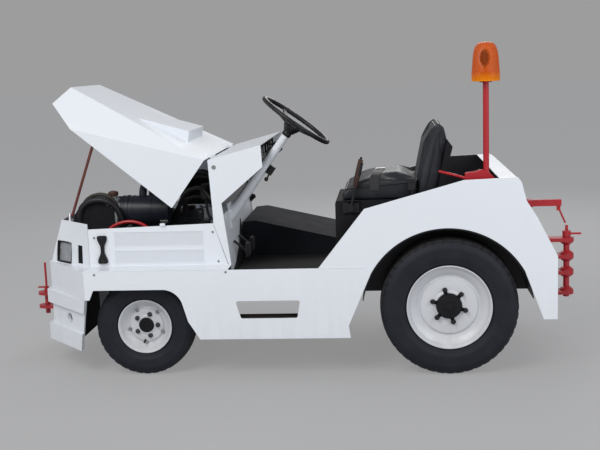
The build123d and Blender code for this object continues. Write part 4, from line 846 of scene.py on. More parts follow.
# Lap belt: webbing laid over the cushion's rear side, a flat strip with rounded edges along a smooth path.
def lapBelt():
    low = hug(cushion, [(-0.405, 0.52, z) for z in np.linspace(0.905, 0.955, 5)], 0.003)
    top = np.column_stack((np.linspace(-0.407, -0.43, 9), np.linspace(0.49, 0.30, 9), np.full(9, 1.03)))
    path = through(np.vstack((low, hug(cushion, top, 0.003))), 4)
    along = np.gradient(path, axis=0)
    along /= np.linalg.norm(along, axis=1, keepdims=True)
    ahead = np.array([1.0, 0, 0])
    across = ahead * seat["beltWidth"] / 2
    out = np.cross(ahead, along)
    out *= np.sign(out[:, 2:] + out[:, 1:2]) * 0.0016
    section = np.array([(-1, -1), (-0.96, 1), (0.96, 1), (1, -1)])
    grid = path[:, None] + section[None, :, :1] * across + section[None, :, 1:] * out[:, None]
    capped(woven(grid, False, True), len(path)).piece("lap_belt", webbing, angle=50)


# Buckle of the belt: a rounded block with its button, on a bent stalk beside the seat.
def beltBuckle():
    spot, turn = (-0.583, 0.519, 0.930), facing((0, 1, 0.1))
    buckle = slab(oblong((0.017, 0.028), 0.008), 0, 0.016)
    stalkPath = through([(-0.583, 0.519, 0.912), (-0.586, 0.522, 0.88), (-0.590, 0.517, 0.845)], 6)
    stalk = tube(stalkPath, 0.007, 10, (1, 0, 0))
    (buckle.at(spot, turn) + stalk).piece("belt_buckle", blackPlastic, edge=0.001)
    button = slab(oblong((0.010, 0.022), 0.003, (-0.010, 0.010)), 0.016, 0.0185)
    button.at(spot, turn).piece("belt_button", blackPaint, edge=0.0005)


# Tongue at the belt's end: a plate narrowed to one side, lying on the cushion.
def beltTongue():
    spot = hug(cushion, [(-0.43, 0.30, 1.03)], 0.006)[0]
    outline = [(-0.026, -0.010), (0.026, -0.010), (0.026, 0.006), (0.012, 0.030), (-0.012, 0.030), (-0.026, 0.006)]
    plate = slab(rounded(outline, 0.004), 0, 0.003)
    plate.at(spot, facing((0, 0, 1), (0, -1, 0))).piece("belt_tongue", zincSteel, edge=0.0006)


lapBelt()
beltBuckle()
beltTongue()
print("stage: seat")


helm = {
    "centre": (-0.015, 0.270, 1.241), "lean": 36.5, "ring": 0.1905, "grip": 0.0128, "fingers": 40, "spoke": 0.026,
    "switchDown": 0.283,
}


# The column's axis, leaning back from upright.
def columnAxis():
    lean = math.radians(helm["lean"])
    return np.array([-math.sin(lean), 0, math.cos(lean)])


# Steering wheel: a ring (R + r cos b) about the column's axis, with r pinched in waves on its under side, three
# spokes and a turned hub. A spoke's half width is 0.5 w (1.55 - 0.75 t + 0.2 t^2), and it rises as t^1.4.
def steeringWheel():
    up = columnAxis()
    turn = np.column_stack(((0, 1, 0), np.cross(up, (0, 1, 0)), up))
    a = np.linspace(0, 2 * np.pi, 240, endpoint=False)[:, None]
    b = np.linspace(0, 2 * np.pi, 20, endpoint=False)[None]
    r = helm["grip"] * (1 + 0.04 * np.clip(-np.sin(b), 0, 1) * np.cos(helm["fingers"] * a))
    reach = helm["ring"] + r * np.cos(b)
    ring = woven(np.stack((reach * np.cos(a), reach * np.sin(a), 0.95 * r * np.sin(b)), -1), True, True)
    ring = ring.at(helm["centre"], turn)
    ring.piece("steering_wheel_grip", blackPlastic, "steering_wheel", ("steering_wheel",), angle=50)
    t = np.linspace(0, 1, 14)[:, None]
    spread = 0.5 * helm["spoke"] * (1.55 - 0.75 * t + 0.2 * t ** 2)
    out = 0.024 + t * (helm["ring"] - 0.030)
    height = -0.036 + 0.034 * t ** 1.4
    corner = np.array([(-1, 0), (-0.7, 1), (0.7, 1), (1, 0), (0.7, -1), (-0.7, -1)])
    grid = np.stack((out + 0 * corner[:, 0], spread * corner[:, 0], height + 0.0042 * corner[:, 1]), -1)
    angles = np.radians((90, 210, 330))
    turns = [[(math.cos(g), -math.sin(g), 0), (math.sin(g), math.cos(g), 0), (0, 0, 1)] for g in angles]
    spokes = woven(grid, False, True).at(np.zeros((3, 3)), np.array(turns))
    hub = lathed([
        (0, -0.012), (0.016, -0.0125), (0.026, -0.0155), (0.0275, -0.0185), (0.0295, -0.0185), (0.0315, -0.0160),
        (0.040, -0.020), (0.046, -0.028), (0.047, -0.036), (0.041, -0.050), (0.031, -0.064), (0.028, -0.072),
        (0.010, -0.072),
    ], 48)
    (spokes + hub).at(helm["centre"], turn).piece("steering_wheel_hub", blackPlastic, "steering_wheel", angle=40)
    collar = lathed([
        (0.012, -0.0725), (0.022, -0.0735), (0.0235, -0.077), (0.0235, -0.092), (0.0215, -0.096), (0.012, -0.096),
    ], 32, True)
    collar.at(helm["centre"], turn).piece("column_collar", blackPlastic)


# Switch on the column: a rounded box on its rear side and a small toggle, set along the column's axis.
def columnSwitch():
    up = columnAxis()
    turn = np.column_stack((np.cross((0, 1, 0), up), (0, 1, 0), up))
    centre = np.array(helm["centre"]) - up * helm["switchDown"]
    box = slab(oblong((-0.017, 0.017), 0.009, (-0.054, -0.017)), -0.024, 0.024)
    box.at(centre, turn).piece("column_switch", blackPlastic, edge=0.0025)
    stem = tube(through([(-0.040, 0, -0.020), (-0.044, 0, -0.032), (-0.045, 0, -0.044)], 5), 0.0042, 10, (0, 1, 0))
    knob = lathed([(0, -0.011), (0.006, -0.010), (0.0105, -0.004), (0.0105, 0.004), (0.006, 0.010), (0, 0.011)], 20)
    (stem + knob.at((-0.045, 0, -0.052))).at(centre, turn).piece("column_toggle", gripPlastic)


# Boot on the toe board: a turned, pleated cone, square to the board.
def toeBoot():
    pleats = [
        (0, 0.030), (0.009, 0.030), (0.0125, 0.026), (0.0115, 0.022), (0.0185, 0.018), (0.0170, 0.013),
        (0.0250, 0.009), (0.0235, 0.004), (0.031, 0.0005), (0, 0.0005),
    ]
    lathed(pleats, 32).at((0.3385, -0.500, 0.757), facing((-1, 0, 0.1366))).piece("toe_boot", softRubber)


steeringWheel()
columnSwitch()
toeBoot()
print("stage: steering wheel")


dials = {
    # y, radius, needle's angle
    "gauges": [(0.15, 0.030, -62), (0.06, 0.030, 35), (-0.06, 0.024, -20), (-0.16, 0.020, 70)],
    "x": 0.1828, "z": 1.0802, "sweep": 240,
}


# Gauges: a turned bezel, a sunk face with marks set round an arc, a needle and a domed glass, all facing -X.
def gauges():
    turn, lift = facing((-1, 0, 0)), (0, 0, 0.0011)
    bezels, faces, marks, glass = [], [], [], []
    for y, r, needle in dials["gauges"]:
        spot = (dials["x"], y, dials["z"])
        bezel = [
            (r * 0.86, 0.0004), (r * 0.88, 0.0038), (r * 0.95, 0.0052), (r * 1.05, 0.0044), (r * 1.08, 0.001),
            (r * 1.08, -0.003), (r * 0.86, -0.003),
        ]
        bezels.append(lathed(bezel, 48, True).at(spot, turn))
        faces.append(lathed([(0, 0.0008), (r * 0.87, 0.0008), (r * 0.87, -0.002), (0, -0.002)], 40).at(spot, turn))
        tips = circled(1.0, np.radians(np.linspace(-dials["sweep"] / 2, dials["sweep"] / 2, 9) + 90)) * r * 0.78
        roots = tips * np.where(np.arange(9) % 2, 0.86, 0.72)[:, None]
        tip = circled(1.0, np.radians([90 + needle])) * r * 0.66
        starts, ends = np.vstack((roots, -tip * 0.2)) + lift, np.vstack((tips, tip)) + lift
        lines = struts(starts, ends, r * 0.05, 0.0006, (0, 0, 1))
        cap = lathed([(0, 0.0028), (r * 0.1, 0.0026), (r * 0.12, 0.001), (0, 0.001)], 16)
        marks.append((lines + cap).at(spot, turn))
        dome = [(0, 0.0048), (r * 0.4, 0.0045), (r * 0.87, 0.0030), (r * 0.87, 0.0022), (r * 0.4, 0.0037), (0, 0.0040)]
        glass.append(lathed(dome, 40).at(spot, turn))
    joined(bezels).piece("gauge_bezels", mattBlack)
    joined(faces).piece("gauge_faces", blackPlastic)
    joined(marks).piece("gauge_marks", darkMetal)
    joined(glass).piece("gauge_glass", clearGlass)


# Pull knobs: turned heads on the CAD knobs, their rims fluted, r = r0 (1 + 0.045 cos 12 a), and plates behind two.
def knobs():
    turn = facing((-1, 0, 0))
    a = np.linspace(0, 2 * np.pi, 72, endpoint=False)[:, None]
    r, h = np.array([
        (0, 0.024), (0.0090, 0.0236), (0.0128, 0.0208), (0.0138, 0.016), (0.0138, 0.006), (0.0115, 0.001),
        (0, 0.001),
    ]).T
    flutes = 1 + 0.045 * np.cos(12 * a) * ((h > 0.004) & (h < 0.022))
    knob = woven(np.stack((r * flutes * np.cos(a), r * flutes * np.sin(a), h + 0 * a), -1), True)
    spots = [(0.170, 0.415, 1.0775), (0.2066, 0.330, 1.0175), (0.170, -0.330, 1.0775), (0.2717, -0.240, 0.9575)]
    knob.at(spots, turn).piece("dash_knobs", blackPlastic, angle=40)
    knob.at((0.2291, 0.200, 0.9875), turn).piece("stop_knob", redPaint, angle=40)
    plates = lathed([(0.019, 0.0), (0.019, 0.0016), (0.0165, 0.0024), (0.006, 0.0024), (0.006, 0.0)], 32, True)
    plates.at([(0.1875, 0.415, 1.0765), (0.1875, -0.330, 1.0765)], turn).piece("knob_plates", zincSteel)


# Key switch: a turned plate, the key's blade and its ring-shaped bow.
def keySwitch():
    plate = [(0, 0.004), (0.007, 0.004), (0.0085, 0.0025), (0.013, 0.002), (0.014, 0.0005), (0.014, 0), (0, 0)]
    blade = slab(oblong((0.0014, 0.011), 0.001), 0.004, 0.020)
    bow = lathed([(0.004, -0.0013), (0.0115, -0.0013), (0.0115, 0.0013), (0.004, 0.0013)], 24, True)
    whole = lathed(plate, 32) + blade + bow.at((0, 0, 0.028), facing((1, 0, 0)))
    whole.at((0.1872, 0.262, 1.062), facing((-1, 0, 0.05))).piece("key_switch", zincSteel)


gauges()
knobs()
keySwitch()
print("stage: dash")


lamps = {"share": 0.70, "z": 0.604, "lens": (0.114, 0.096), "sunk": 0.009, "ribs": 15, "slotShare": 0.25}


# Frame of the front panel's corner face at a share of its length: along it, up its lean, and out of it.
def cornerFrame(share, z, side):
    back = 0.068 * (z - 0.546) / 0.218
    run = np.array([0.258 - back, -0.187, 0])
    along = run / np.linalg.norm(run)
    rise = np.array([-0.312 * share, 0, 1])
    rise /= np.linalg.norm(rise)
    out = np.cross(rise, along)
    out /= np.linalg.norm(out)
    origin = np.array([1.030, 0.495, z]) + run * share
    mirror = np.array([1, side, 1])
    return origin * mirror, np.column_stack((-along * mirror, np.cross(out, -along) * mirror, out * mirror))


# Headlamp: a lens whose depth is a shallow dome, (1 - u^2)(1 - 0.6 v^2), plus upright ribs, a silver bowl and back
# behind it, a bulb and a rubber frame. A dark well fills the slot in the same face.
def headlamps():
    w, h = np.array(lamps["lens"]) / 2
    u, v = np.meshgrid(np.linspace(-1, 1, 121), np.linspace(-1, 1, 17), indexing="ij")
    edge = np.clip(np.minimum(1 - np.abs(u), 1 - np.abs(v)) / 0.06, 0, 1)
    ribs = edge * 0.0011 * np.cos(2 * np.pi * lamps["ribs"] / 2 * u)
    depth = 0.006 * (1 - u ** 2) * (1 - 0.6 * v ** 2) + ribs - 0.004
    lens = sheetBetween(np.stack((u * w, v * h, depth), -1), np.stack((u * w, v * h, depth * 0.6 - 0.004), -1))
    bowlIn = through([(0.006, -0.036), (0.022, -0.033), (0.036, -0.024), (0.044, -0.011)], 5)
    bowl = lathed(np.vstack((bowlIn, bowlIn[::-1] + (0.0012, -0.0012))), 48, True)
    outline = oblong((w + 0.003, h + 0.003), 0.008)
    shell = slab(outline, -0.041, -0.038) + slab(outline * 0.99, -0.020, -0.018)
    bulb = lathed([(0, -0.012), (0.006, -0.0145), (0.009, -0.020), (0.008, -0.027), (0.005, -0.034), (0, -0.034)], 20)
    outside, inside = oblong((w + 0.0075, h + 0.0075), 0.008), oblong((w, h), 0.006)
    loops = [np.column_stack((ring, np.full(len(ring), z))) for ring, z in (
        (inside, -0.003), (inside * 1.012, 0.0075), (outside * 0.992, 0.0105), (outside, 0.0092))]
    gasket = woven(np.stack(loops, 1), True, True)
    well = slab(oblong((0.023, 0.049), 0.006), -0.012, -0.0075)
    for hand, side in hands:
        origin, turn = cornerFrame(lamps["share"], lamps["z"], side)
        spot = origin - turn[:, 2] * lamps["sunk"]
        lens.at(spot, turn).piece(f"lamp_lens_{hand}", lampLens, angle=60)
        bowl.at(spot, turn).piece(f"lamp_bowl_{hand}", lampSilver, angle=50)
        bulb.at(spot, turn).piece(f"lamp_bulb_{hand}", lampLens)
        gasket.at(spot, turn).piece(f"lamp_frame_{hand}", softRubber, angle=40)
        replaced = ("headlamps",) if side > 0 else ()
        shell.at(spot - turn[:, 2] * 0.001, turn).piece(f"lamp_back_{hand}", lampSilver, "chassis", replaced)
        well.at(*cornerFrame(lamps["slotShare"], lamps["z"], side)).piece(f"slot_back_{hand}", mattBlack)


headlamps()


bay = {
    "panelY": 0.495, "meshX": (0.446, 0.896), "bands": [(0.562, 0.628), (0.648, 0.722)], "pitch": 0.0105, "slope": 1.75,
    "wire": 0.0033, "latch": (0.958, 0.565, 0.706),
    # radius, height, y, and the places in x and z
    "screws": [
        (0.0058, 0.0035, 0.495, [(0.398, 0.714), (0.999, 0.695), (0.375, 0.566)]),
        (0.0058, 0.0035, 0.620, [(0.322, 0.536), (0.974, 0.532)]),
        (0.0105, 0.006, 0.495, [(0.378, 1.035)]),
    ],
}


# Side panels' mesh: two families of bars, x = c + k z and x = c - k z, each cut off at the band's ends, in a frame
# and over a dark sheet of painted shade for the space behind it.
def meshBands():
    bars, frames = [], []
    x0, x1 = bay["meshX"]
    for z0, z1 in bay["bands"]:
        rise = (z1 - z0) * bay["slope"]
        c = np.arange(x0 - rise, x1, bay["pitch"])
        t0, t1 = (np.clip((x - c) / rise, 0, 1) for x in (x0, x1))
        keep = t1 - t0 > 0.03
        for lean in (1, -1):
            ends = []
            for t in (t0[keep], t1[keep]):
                z = z0 + t * (z1 - z0) if lean > 0 else z1 - t * (z1 - z0)
                ends.append(np.column_stack((c[keep] + t * rise, 0 * t, z)))
            bars.append((*ends, 0.4937 + 0.0004 * lean, bay["wire"], 0.0012))
        corners = np.array([(x0, 0, z0), (x1, 0, z0), (x1, 0, z1), (x0, 0, z1)])
        frames.append((corners, np.roll(corners, -1, 0), 0.4952, 0.005, 0.0024))
    for hand, side in hands:
        lattice = [
            struts(start + (0, side * y, 0), end + (0, side * y, 0), width, depth, (0, 1, 0))
            for start, end, y, width, depth in bars + frames
        ]
        joined(lattice).piece(f"panel_mesh_{hand}", whitePaint)
        low, high = sorted((side * 0.49285, side * 0.49325))
        # Behind each band, a dark sheet of painted shade.
        shadeSheets = [boxed((x0 + 0.001, low, z0 + 0.001), (x1 - 0.001, high, z1 - 0.001)) for z0, z1 in bay["bands"]]
        joined(shadeSheets).piece(f"panel_mesh_shade_{hand}", meshShade)


# Fasteners of the bay: dome screws on the side panels, the cowl and the plates' top edges, and a tab on each panel.
def bayFasteners():
    tab = slab(oblong((0.013, 0.007), 0.004), 0, 0.010)
    screws, tabs = [], []
    for hand, side in hands:
        out = facing((0, side, 0))
        for r, height, y, places in bay["screws"]:
            screws.append(domeScrew(r, height).at([(x, side * y, z) for x, z in places], out))
        tabs.append(tab.at((0.647, side * bay["panelY"], 0.762 - 0.006), out))
    joined(screws).piece("panel_screws", zincSteel)
    joined(tabs).piece("panel_tabs", whitePaint, edge=0.0012)


# Draw latches: a moulded strap with a waist, rounded at its corners, with grip ribs and a button at each end.
def latches():
    x, low, high = bay["latch"]
    middle = (low + high) / 2
    half = [
        (0.0245, low), (0.0245, low + 0.018), (0.0085, middle - 0.016), (0.0085, middle + 0.016),
        (0.0245, high - 0.018), (0.0245, high),
    ]
    outline = np.array([(-a, b) for a, b in half] + half[::-1]) - (0, middle)
    strap = slab(rounded(outline, 0.011), 0.0006, 0.0125)
    strap = strap + ribbed(-0.007, 0.007, np.linspace(-0.020, 0.020, 7), 0.0132, 0.0026, 0.0026)
    buttons = domeScrew(0.0055, 0.003).at([(0, -0.058, 0.0125), (0, 0.058, 0.0125)])
    spots = [((x, side * bay["panelY"], middle), facing((0, side, 0))) for hand, side in hands]
    straps = joined([strap.at(*spot) for spot in spots])
    straps.piece("latch_straps", softRubber, "chassis", ("hood_latches",), edge=0.0016)
    for (hand, side), spot in zip(hands, spots):
        buttons.at(*spot).piece(f"latch_buttons_{hand}", darkMetal)


# Weld bead: a chain of drops as one tube along a line, r = r0 (1 + 0.16 cos of the place along it).
def bead(start, end, radius, normal):
    start, end = np.asarray(start, float), np.asarray(end, float)
    length = np.linalg.norm(end - start)
    count = max(8, int(length / 0.0022))
    t = np.linspace(0, 1, count)[:, None]
    waves = radius * (1 + 0.16 * np.cos(2 * np.pi * t[:, 0] * length / 0.0066))
    return tube(start + t * (end - start), waves, 8, normal)


# A short bead on each side plate, behind its step's opening.
def plateWelds():
    ends = [((-0.128, side * 0.6196, 0.547), (-0.352, side * 0.6196, 0.5455)) for hand, side in hands]
    joined([bead(start, end, 0.0022, (0, 1, 0)) for start, end in ends]).piece("plate_welds", whitePaint)


meshBands()
bayFasteners()
latches()
plateWelds()
print("stage: lamps and side panels")


beacon = {"x": -0.935, "y": 0.560, "low": 1.412, "high": 1.594, "radius": 0.066, "flutes": 40}


# Beacon's lens: a turned dome, open below, whose inner wall is fluted, r = base(h) (1 + 0.022 cos 40 a), and two
# raised rings round its foot.
def beaconDome():
    low, high, radius = beacon["low"], beacon["high"], beacon["radius"]
    outer = through([
        (radius, low + 0.012), (radius, low + 0.034), (radius - 0.004, low + 0.085), (radius - 0.0075, low + 0.125),
        (radius - 0.0125, high - 0.034), (radius - 0.0205, high - 0.0155), (radius - 0.033, high - 0.0045),
        (radius - 0.048, high - 0.0006), (0.004, high),
    ], 6)
    outer = np.vstack(([(radius - 0.004, low + 0.001), (radius, low + 0.003)], outer))
    inner = outer[::-1] - (0.004, 0.004)
    inner[:, 0] = np.maximum(inner[:, 0], 0.0)
    inner[-2:, 1] = low + 0.001
    r, h = np.vstack((outer, inner)).T
    a = np.linspace(0, 2 * np.pi, 200, endpoint=False)[:, None]
    span = np.clip((h - low - 0.036) / 0.012, 0, 1) * np.clip((high - 0.030 - h) / 0.012, 0, 1)
    isInner = np.arange(len(h)) >= len(outer)
    flutes = 1 + 0.022 * span * isInner * np.cos(beacon["flutes"] * a)
    lens = woven(np.stack((r * flutes * np.cos(a), r * flutes * np.sin(a), h + 0 * a), -1), True, True)
    spot = (beacon["x"], beacon["y"], 0)
    lens.at(spot).piece("beacon_lens_dome", amberPlastic, "chassis", ("beacon_lens",), angle=50)
    section = [(radius - 0.001, -0.0018), (radius + 0.0012, 0), (radius - 0.001, 0.0018), (radius - 0.003, 0)]
    rings = [lathed(section + np.array([0, low + up]), 96, True) for up in (0.010, 0.016)]
    joined(rings).at(spot).piece("beacon_lens_rings", amberPlastic)


# Under the lens: a turned base, a bulb on its carrier, and an oval mirror that curves round it, matt black as a
# painted dark reflection. Of the mirror's angle, its half span is 0.72 sqrt(1.02 - (2 s - 1)^2), with s from its foot
# to its top.
def beaconInside():
    low, spot = beacon["low"], (beacon["x"], beacon["y"], 0)
    base = lathed([
        (0, low + 0.016), (0.040, low + 0.016), (0.046, low + 0.012), (0.058, low + 0.010), (0.0605, low + 0.003),
        (0.052, low + 0.001), (0.034, low), (0.0145, low), (0, low),
    ], 64)
    base.at(spot).piece("beacon_base", lensBase, angle=30)
    s = np.linspace(0, 1, 16)[None]
    t = np.linspace(-1, 1, 24)[:, None] * 0.72 * np.sqrt(1.02 - (2 * s - 1) ** 2) + 1.35
    bowl = 0.035 - 0.008 * (2 * s - 1) ** 2
    height = low + 0.066 + 0.086 * s + 0 * t
    face, rear = (np.stack((r * np.cos(t), r * np.sin(t), height), -1) for r in (bowl, bowl + 0.0015))
    carrier = [(0, low + 0.044), (0.022, low + 0.044), (0.025, low + 0.040), (0.025, low + 0.016), (0, low + 0.016)]
    stalk = struts([(0, 0.028, low + 0.038)], [(0.008, 0.034, low + 0.070)], 0.012, 0.002, (0, 1, 0))
    mirror = (lathed(carrier, 40) + stalk + sheetBetween(face, rear)).at(spot)
    # Matt black: the mirror's dark reflection is painted into its colour.
    mirror.piece("beacon_mirror", mattBlack, "chassis", ("beacon_reflector",), angle=40)
    bulb = lathed([
        (0, low + 0.118), (0.006, low + 0.115), (0.0095, low + 0.107), (0.009, low + 0.094), (0.006, low + 0.080),
        (0.006, low + 0.040), (0, low + 0.040),
    ], 24)
    bulb.at(spot).piece("beacon_bulb", lampLens)


# Beacon's pole: a turned tube with its flange and a welded foot, a collar and bolts on the foot, two gussets and a
# side bar.
def beaconPole():
    x, y = beacon["x"], beacon["y"]
    collar = lathed([(0.0142, 0.793), (0.024, 0.793), (0.0205, 0.799), (0.0165, 0.803), (0.0142, 0.806)], 32, True)
    collar.at((x, y, 0)).piece("pole_collar", redPaint, angle=40)
    bolts = hexBolt(0.014, 0.008).at([(x + a, y + b, 0.793) for a in (-0.020, 0.020) for b in (-0.024, 0.024)])
    bolts.piece("pole_bolts", zincSteel)
    outline = rounded([
        (-0.975, 0.925), (-0.975, 0.957), (-0.950, 0.985), (-0.912, 1.000), (-0.882, 0.990), (-0.835, 0.985),
        (-0.835, 0.925),
    ], 0.006)
    for gussetY in (0.5435, 0.5765):
        gusset = slab(outline, -0.0025, 0.0025).at((0, gussetY, 0), upright)
        gusset.piece(f"pole_gusset_{gussetY * 1e4:.0f}", redPaint, edge=0.001)
    cords("side_bar", redPaint, 12, (0, 1, 0), [
        (0.0065, [(-0.842, 0.572, 0.958), (-0.80, 0.570, 0.972), (-0.712, 0.566, 0.996)]),
    ], 6)
    pole = lathed([
        (0, 0.7852), (0.0140, 0.7852), (0.0140, 1.4040), (0.0175, 1.4075), (0.030, 1.4085), (0.030, 1.4115),
        (0, 1.4115),
    ], 40)
    foot = slab(oblong((0.037, 0.037), 0.006), 0.7852, 0.7930)
    (pole + foot).at((x, y, 0)).piece("beacon_pole", redPaint, "chassis", ("beacon_mount",), edge=0.0008)


beaconDome()
beaconInside()
beaconPole()
print("stage: beacon")


cockpit = {
    "floor": 0.6118, "tread": (-0.068, 0.326), "mat": ((-0.205, 0.005), (0.284, 0.604)), "ribPitch": 0.016,
    "treadPitch": 0.022, "pads": [(0.330, 0.595), (0.160, 0.595)],
}


# Floor mat and pedal rubbers are thin slabs with ribs at even steps, and the step treads have round studs in rows.
def cockpitRubber():
    (x0, y0), (x1, y1) = cockpit["mat"]
    sheet = slab(oblong((x1, y1), 0.02, (x0, y0)), 0.5002, 0.5030)
    y = np.arange(y0 + 0.02, y1 - 0.015, cockpit["ribPitch"])
    (sheet + ribbed(x0 + 0.015, x1 - 0.015, y, 0.5036, 0.006, 0.0024)).piece("floor_mat", softRubber, edge=0.0006)
    pad = slab(oblong((0.031, 0.036), 0.008), 0.0, 0.005)
    pad = pad + ribbed(-0.025, 0.025, np.linspace(-0.026, 0.026, 7), 0.006, 0.0035, 0.003)
    pads = pad.at([(0.2458, padY, padZ) for padY, padZ in cockpit["pads"]], facing((-1, 0, 0)))
    pads.piece("pedal_rubbers", softRubber, edge=0.0008)
    x, y = np.meshgrid(np.arange(-0.018, 0.262, cockpit["treadPitch"]), (0.545, 0.567, 0.589), indexing="ij")
    stud = lathed([(0, 0.0016), (0.0030, 0.0014), (0.0056, 0.0), (0, 0)], 10)
    for hand, side in hands:
        stud.at(np.stack((x, side * y, 0 * x + 0.3031), -1)).piece(f"step_studs_{hand}", blackPaint)


# Parking brake grip: a sleeve along the rod, r = r0 + 0.0022 sin(pi t^0.8) + 0.0006 cos(18 pi t), with a release
# button on top, and a slotted plate at the rod's foot.
def brakeGrip():
    root, tip = np.array([-0.3125, 0.5315, 0.925]), np.array([-0.3435, 0.5363, 1.060])
    t = np.linspace(0, 1, 60)[:, None]
    r = 0.0110 + 0.0022 * np.sin(np.pi * t[:, 0] ** 0.8) + 0.0006 * np.cos(2 * np.pi * 9 * t[:, 0])
    r[0] = r[-1] = 0.010
    grip = tube(root + t * (tip - root), r, 20, (0, 1, 0))
    grip.piece("brake_grip", gripPlastic, angle=50)
    button = lathed([(0, 0.012), (0.004, 0.0115), (0.0058, 0.009), (0.0058, 0), (0, 0)], 20)
    button.at(tip, facing(tip - root)).piece("brake_button", blackPlastic)
    plate = slab(oblong((0.031, 0.016), 0.006), 0, 0.002)
    slot = slab(oblong((0.024, 0.005), 0.003), 0.002, 0.0026)
    plate.at((-0.30, 0.528, 0.859)).piece("brake_plate", blackPaint, edge=0.0005)
    slot.at((-0.30, 0.528, 0.859)).piece("brake_slot", softRubber)


# Black mat that runs up the toe board: its edge is a smooth curve z(y), laid on the plane
# x = 0.306 + (z - 0.5) 0.1366.
def toeMat():
    edge = through([(-0.008, 0.705), (0.06, 0.660), (0.15, 0.606), (0.28, 0.556), (0.42, 0.522), (0.57, 0.508)], 8)
    outline = np.vstack((edge, [(0.58, 0.5035), (-0.008, 0.5035)]))
    layers = [np.column_stack((0.306 + (outline[:, 1] - 0.5) * 0.1366 - gap, outline)) for gap in (0.0008, 0.0042)]
    ring = np.arange(len(outline))
    after = np.roll(ring, -1)
    sides = np.column_stack((ring, after, after + len(ring), ring + len(ring)))
    Form(np.vstack(layers), sides, [ring[::-1]], [ring + len(ring)]).piece("toe_mat", softRubber)


# Cockpit floor: one plate between the side plates, and a step tread on each side on two hangers beside its opening.
def cockpitFloor():
    reach, tread = cockpit["floor"], cockpit["tread"]
    total = boxed((-0.3295, -reach, 0.4955), (0.2997, reach, 0.4998))
    for side in (-1, 1):
        low, high = sorted((side * (reach - 0.0895), side * reach))
        total = total + boxed((tread[0], low, 0.2955), (tread[1], high, 0.3025))
        inner = sorted((side * (reach - 0.0895), side * (reach - 0.0845)))
        for x in (tread[0], tread[1] - 0.026):
            total = total + boxed((x, inner[0], 0.302), (x + 0.026, inner[1], 0.4958))
    total.piece("cockpit_floor", floorPaint, "chassis", ("floor",), edge=0.0008)


cockpitFloor()
cockpitRubber()
brakeGrip()
toeMat()
print("stage: cockpit")


engineBay = {
    "drum": (0.215, 0.795, 0.074), "drumRings": [0.672, 0.681, 0.752, 0.852, 0.899, 0.908], "clipX": 0.690,
    "hose": 0.017, "wire": 0.0035, "mainWire": 0.0056,
}


# Trim of the air cleaner's drum: turned rings, three wire clips round it and a bolted end.
def drumTrim():
    y, z, r = engineBay["drum"]
    along = facing((1, 0, 0))
    ring = lathed([(r - 0.001, -0.0028), (r + 0.0022, -0.0018), (r + 0.0022, 0.0018), (r - 0.001, 0.0028)], 72, True)
    ring.at([(x, y, z) for x in engineBay["drumRings"]], along).piece("drum_rings", drumPaint)
    clip = slab(oblong((0.012, 0.020), 0.003), r - 0.0005, r + 0.0035)
    bent = [(x, down, r + up) for x, down, up in (
        (-0.008, -0.022, 0.003), (-0.008, 0.014, 0.006), (0.008, 0.014, 0.006), (0.008, -0.022, 0.003))]
    wire = tube(through(bent, 6), 0.0014, 8, (0, 0, 1))
    turns = [facing((0, math.sin(g), math.cos(g)), (1, 0, 0)) for g in map(math.radians, (20, 140, 260))]
    clips = (clip + wire).at([(engineBay["clipX"], y, z)] * 3, np.array(turns))
    clips.piece("drum_clips", zincSteel, edge=0.0004)
    centre = lathed([(0, 0.010), (0.010, 0.010), (0.014, 0.004), (0.030, 0.003), (0.034, 0.0), (0, 0)], 40)
    (centre + hexBolt(0.013, 0.016)).at((0.9163, y, z), along).piece("drum_end", drumPaint)
    clamp = hoseClamp(engineBay["hose"] + 0.0004, 0.013)
    clamps = clamp.at((1.0700, 0.165, 0.738), along) + clamp.at((0.872, 0.040, 0.777), facing((0, 0, 1), (0, 1, 0)))
    clamps.piece("hose_clamps", zincSteel, edge=0.0003)


# Turned caps of the tank, with grips round it, the radiator, with two ears, and the engine's oil. A curved black
# sheet of painted shade stands behind the nose, and two rows of bolts on the engine's head.
def capsAndBolts():
    cap = lathed([
        (0, 0.026), (0.012, 0.026), (0.0145, 0.0235), (0.023, 0.0225), (0.0255, 0.019), (0.0255, 0.003),
        (0.0235, 0.0), (0, 0),
    ], 40)
    g = np.linspace(0, 2 * np.pi, 18, endpoint=False)
    grips = struts(circled(0.0252, g, 0.004), circled(0.0252, g, 0.018), 0.003, 0.002, (1, 0.01, 0))
    (cap + grips).at((0.9557, 0.245, 0.8745)).piece("tank_cap", capPlastic, edge=0.0006)
    filler = lathed([
        (0, 0.016), (0.010, 0.016), (0.012, 0.011), (0.024, 0.010), (0.027, 0.006), (0.027, -0.004),
        (0.022, -0.008), (0, -0.008),
    ], 32)
    ears = slab(oblong((0.036, 0.007), 0.005), 0.004, 0.009)
    (filler + ears).at((1.124, 0.060, 0.770)).piece("radiator_cap", darkMetal, edge=0.0006)
    oil = lathed([(0, 0.020), (0.020, 0.020), (0.0245, 0.016), (0.0245, 0.004), (0.020, 0.0), (0, 0)], 10)
    oil.at((0.600, -0.02, 0.7600)).piece("oil_cap", capPlastic, edge=0.001)
    sheet = through([
        (1.172, 0.700), (1.150, 0.772), (1.120, 0.823), (1.075, 0.853), (1.020, 0.858), (0.972, 0.835),
        (0.945, 0.790), (0.932, 0.700),
    ], 5)
    # The curved black sheet is painted shade inside the nose.
    slab(sheet, -0.322, -0.319).at((0, 0, 0), upright).piece("nose_shade_sheet", mattBlack, edge=0.0008)
    rows = [(x, side * 0.092, 0.7602) for x in np.linspace(0.560, 0.890, 6) for side in (-1, 1)]
    hexBolt(0.014, 0.008).at(rows).piece("head_bolts", darkMetal)


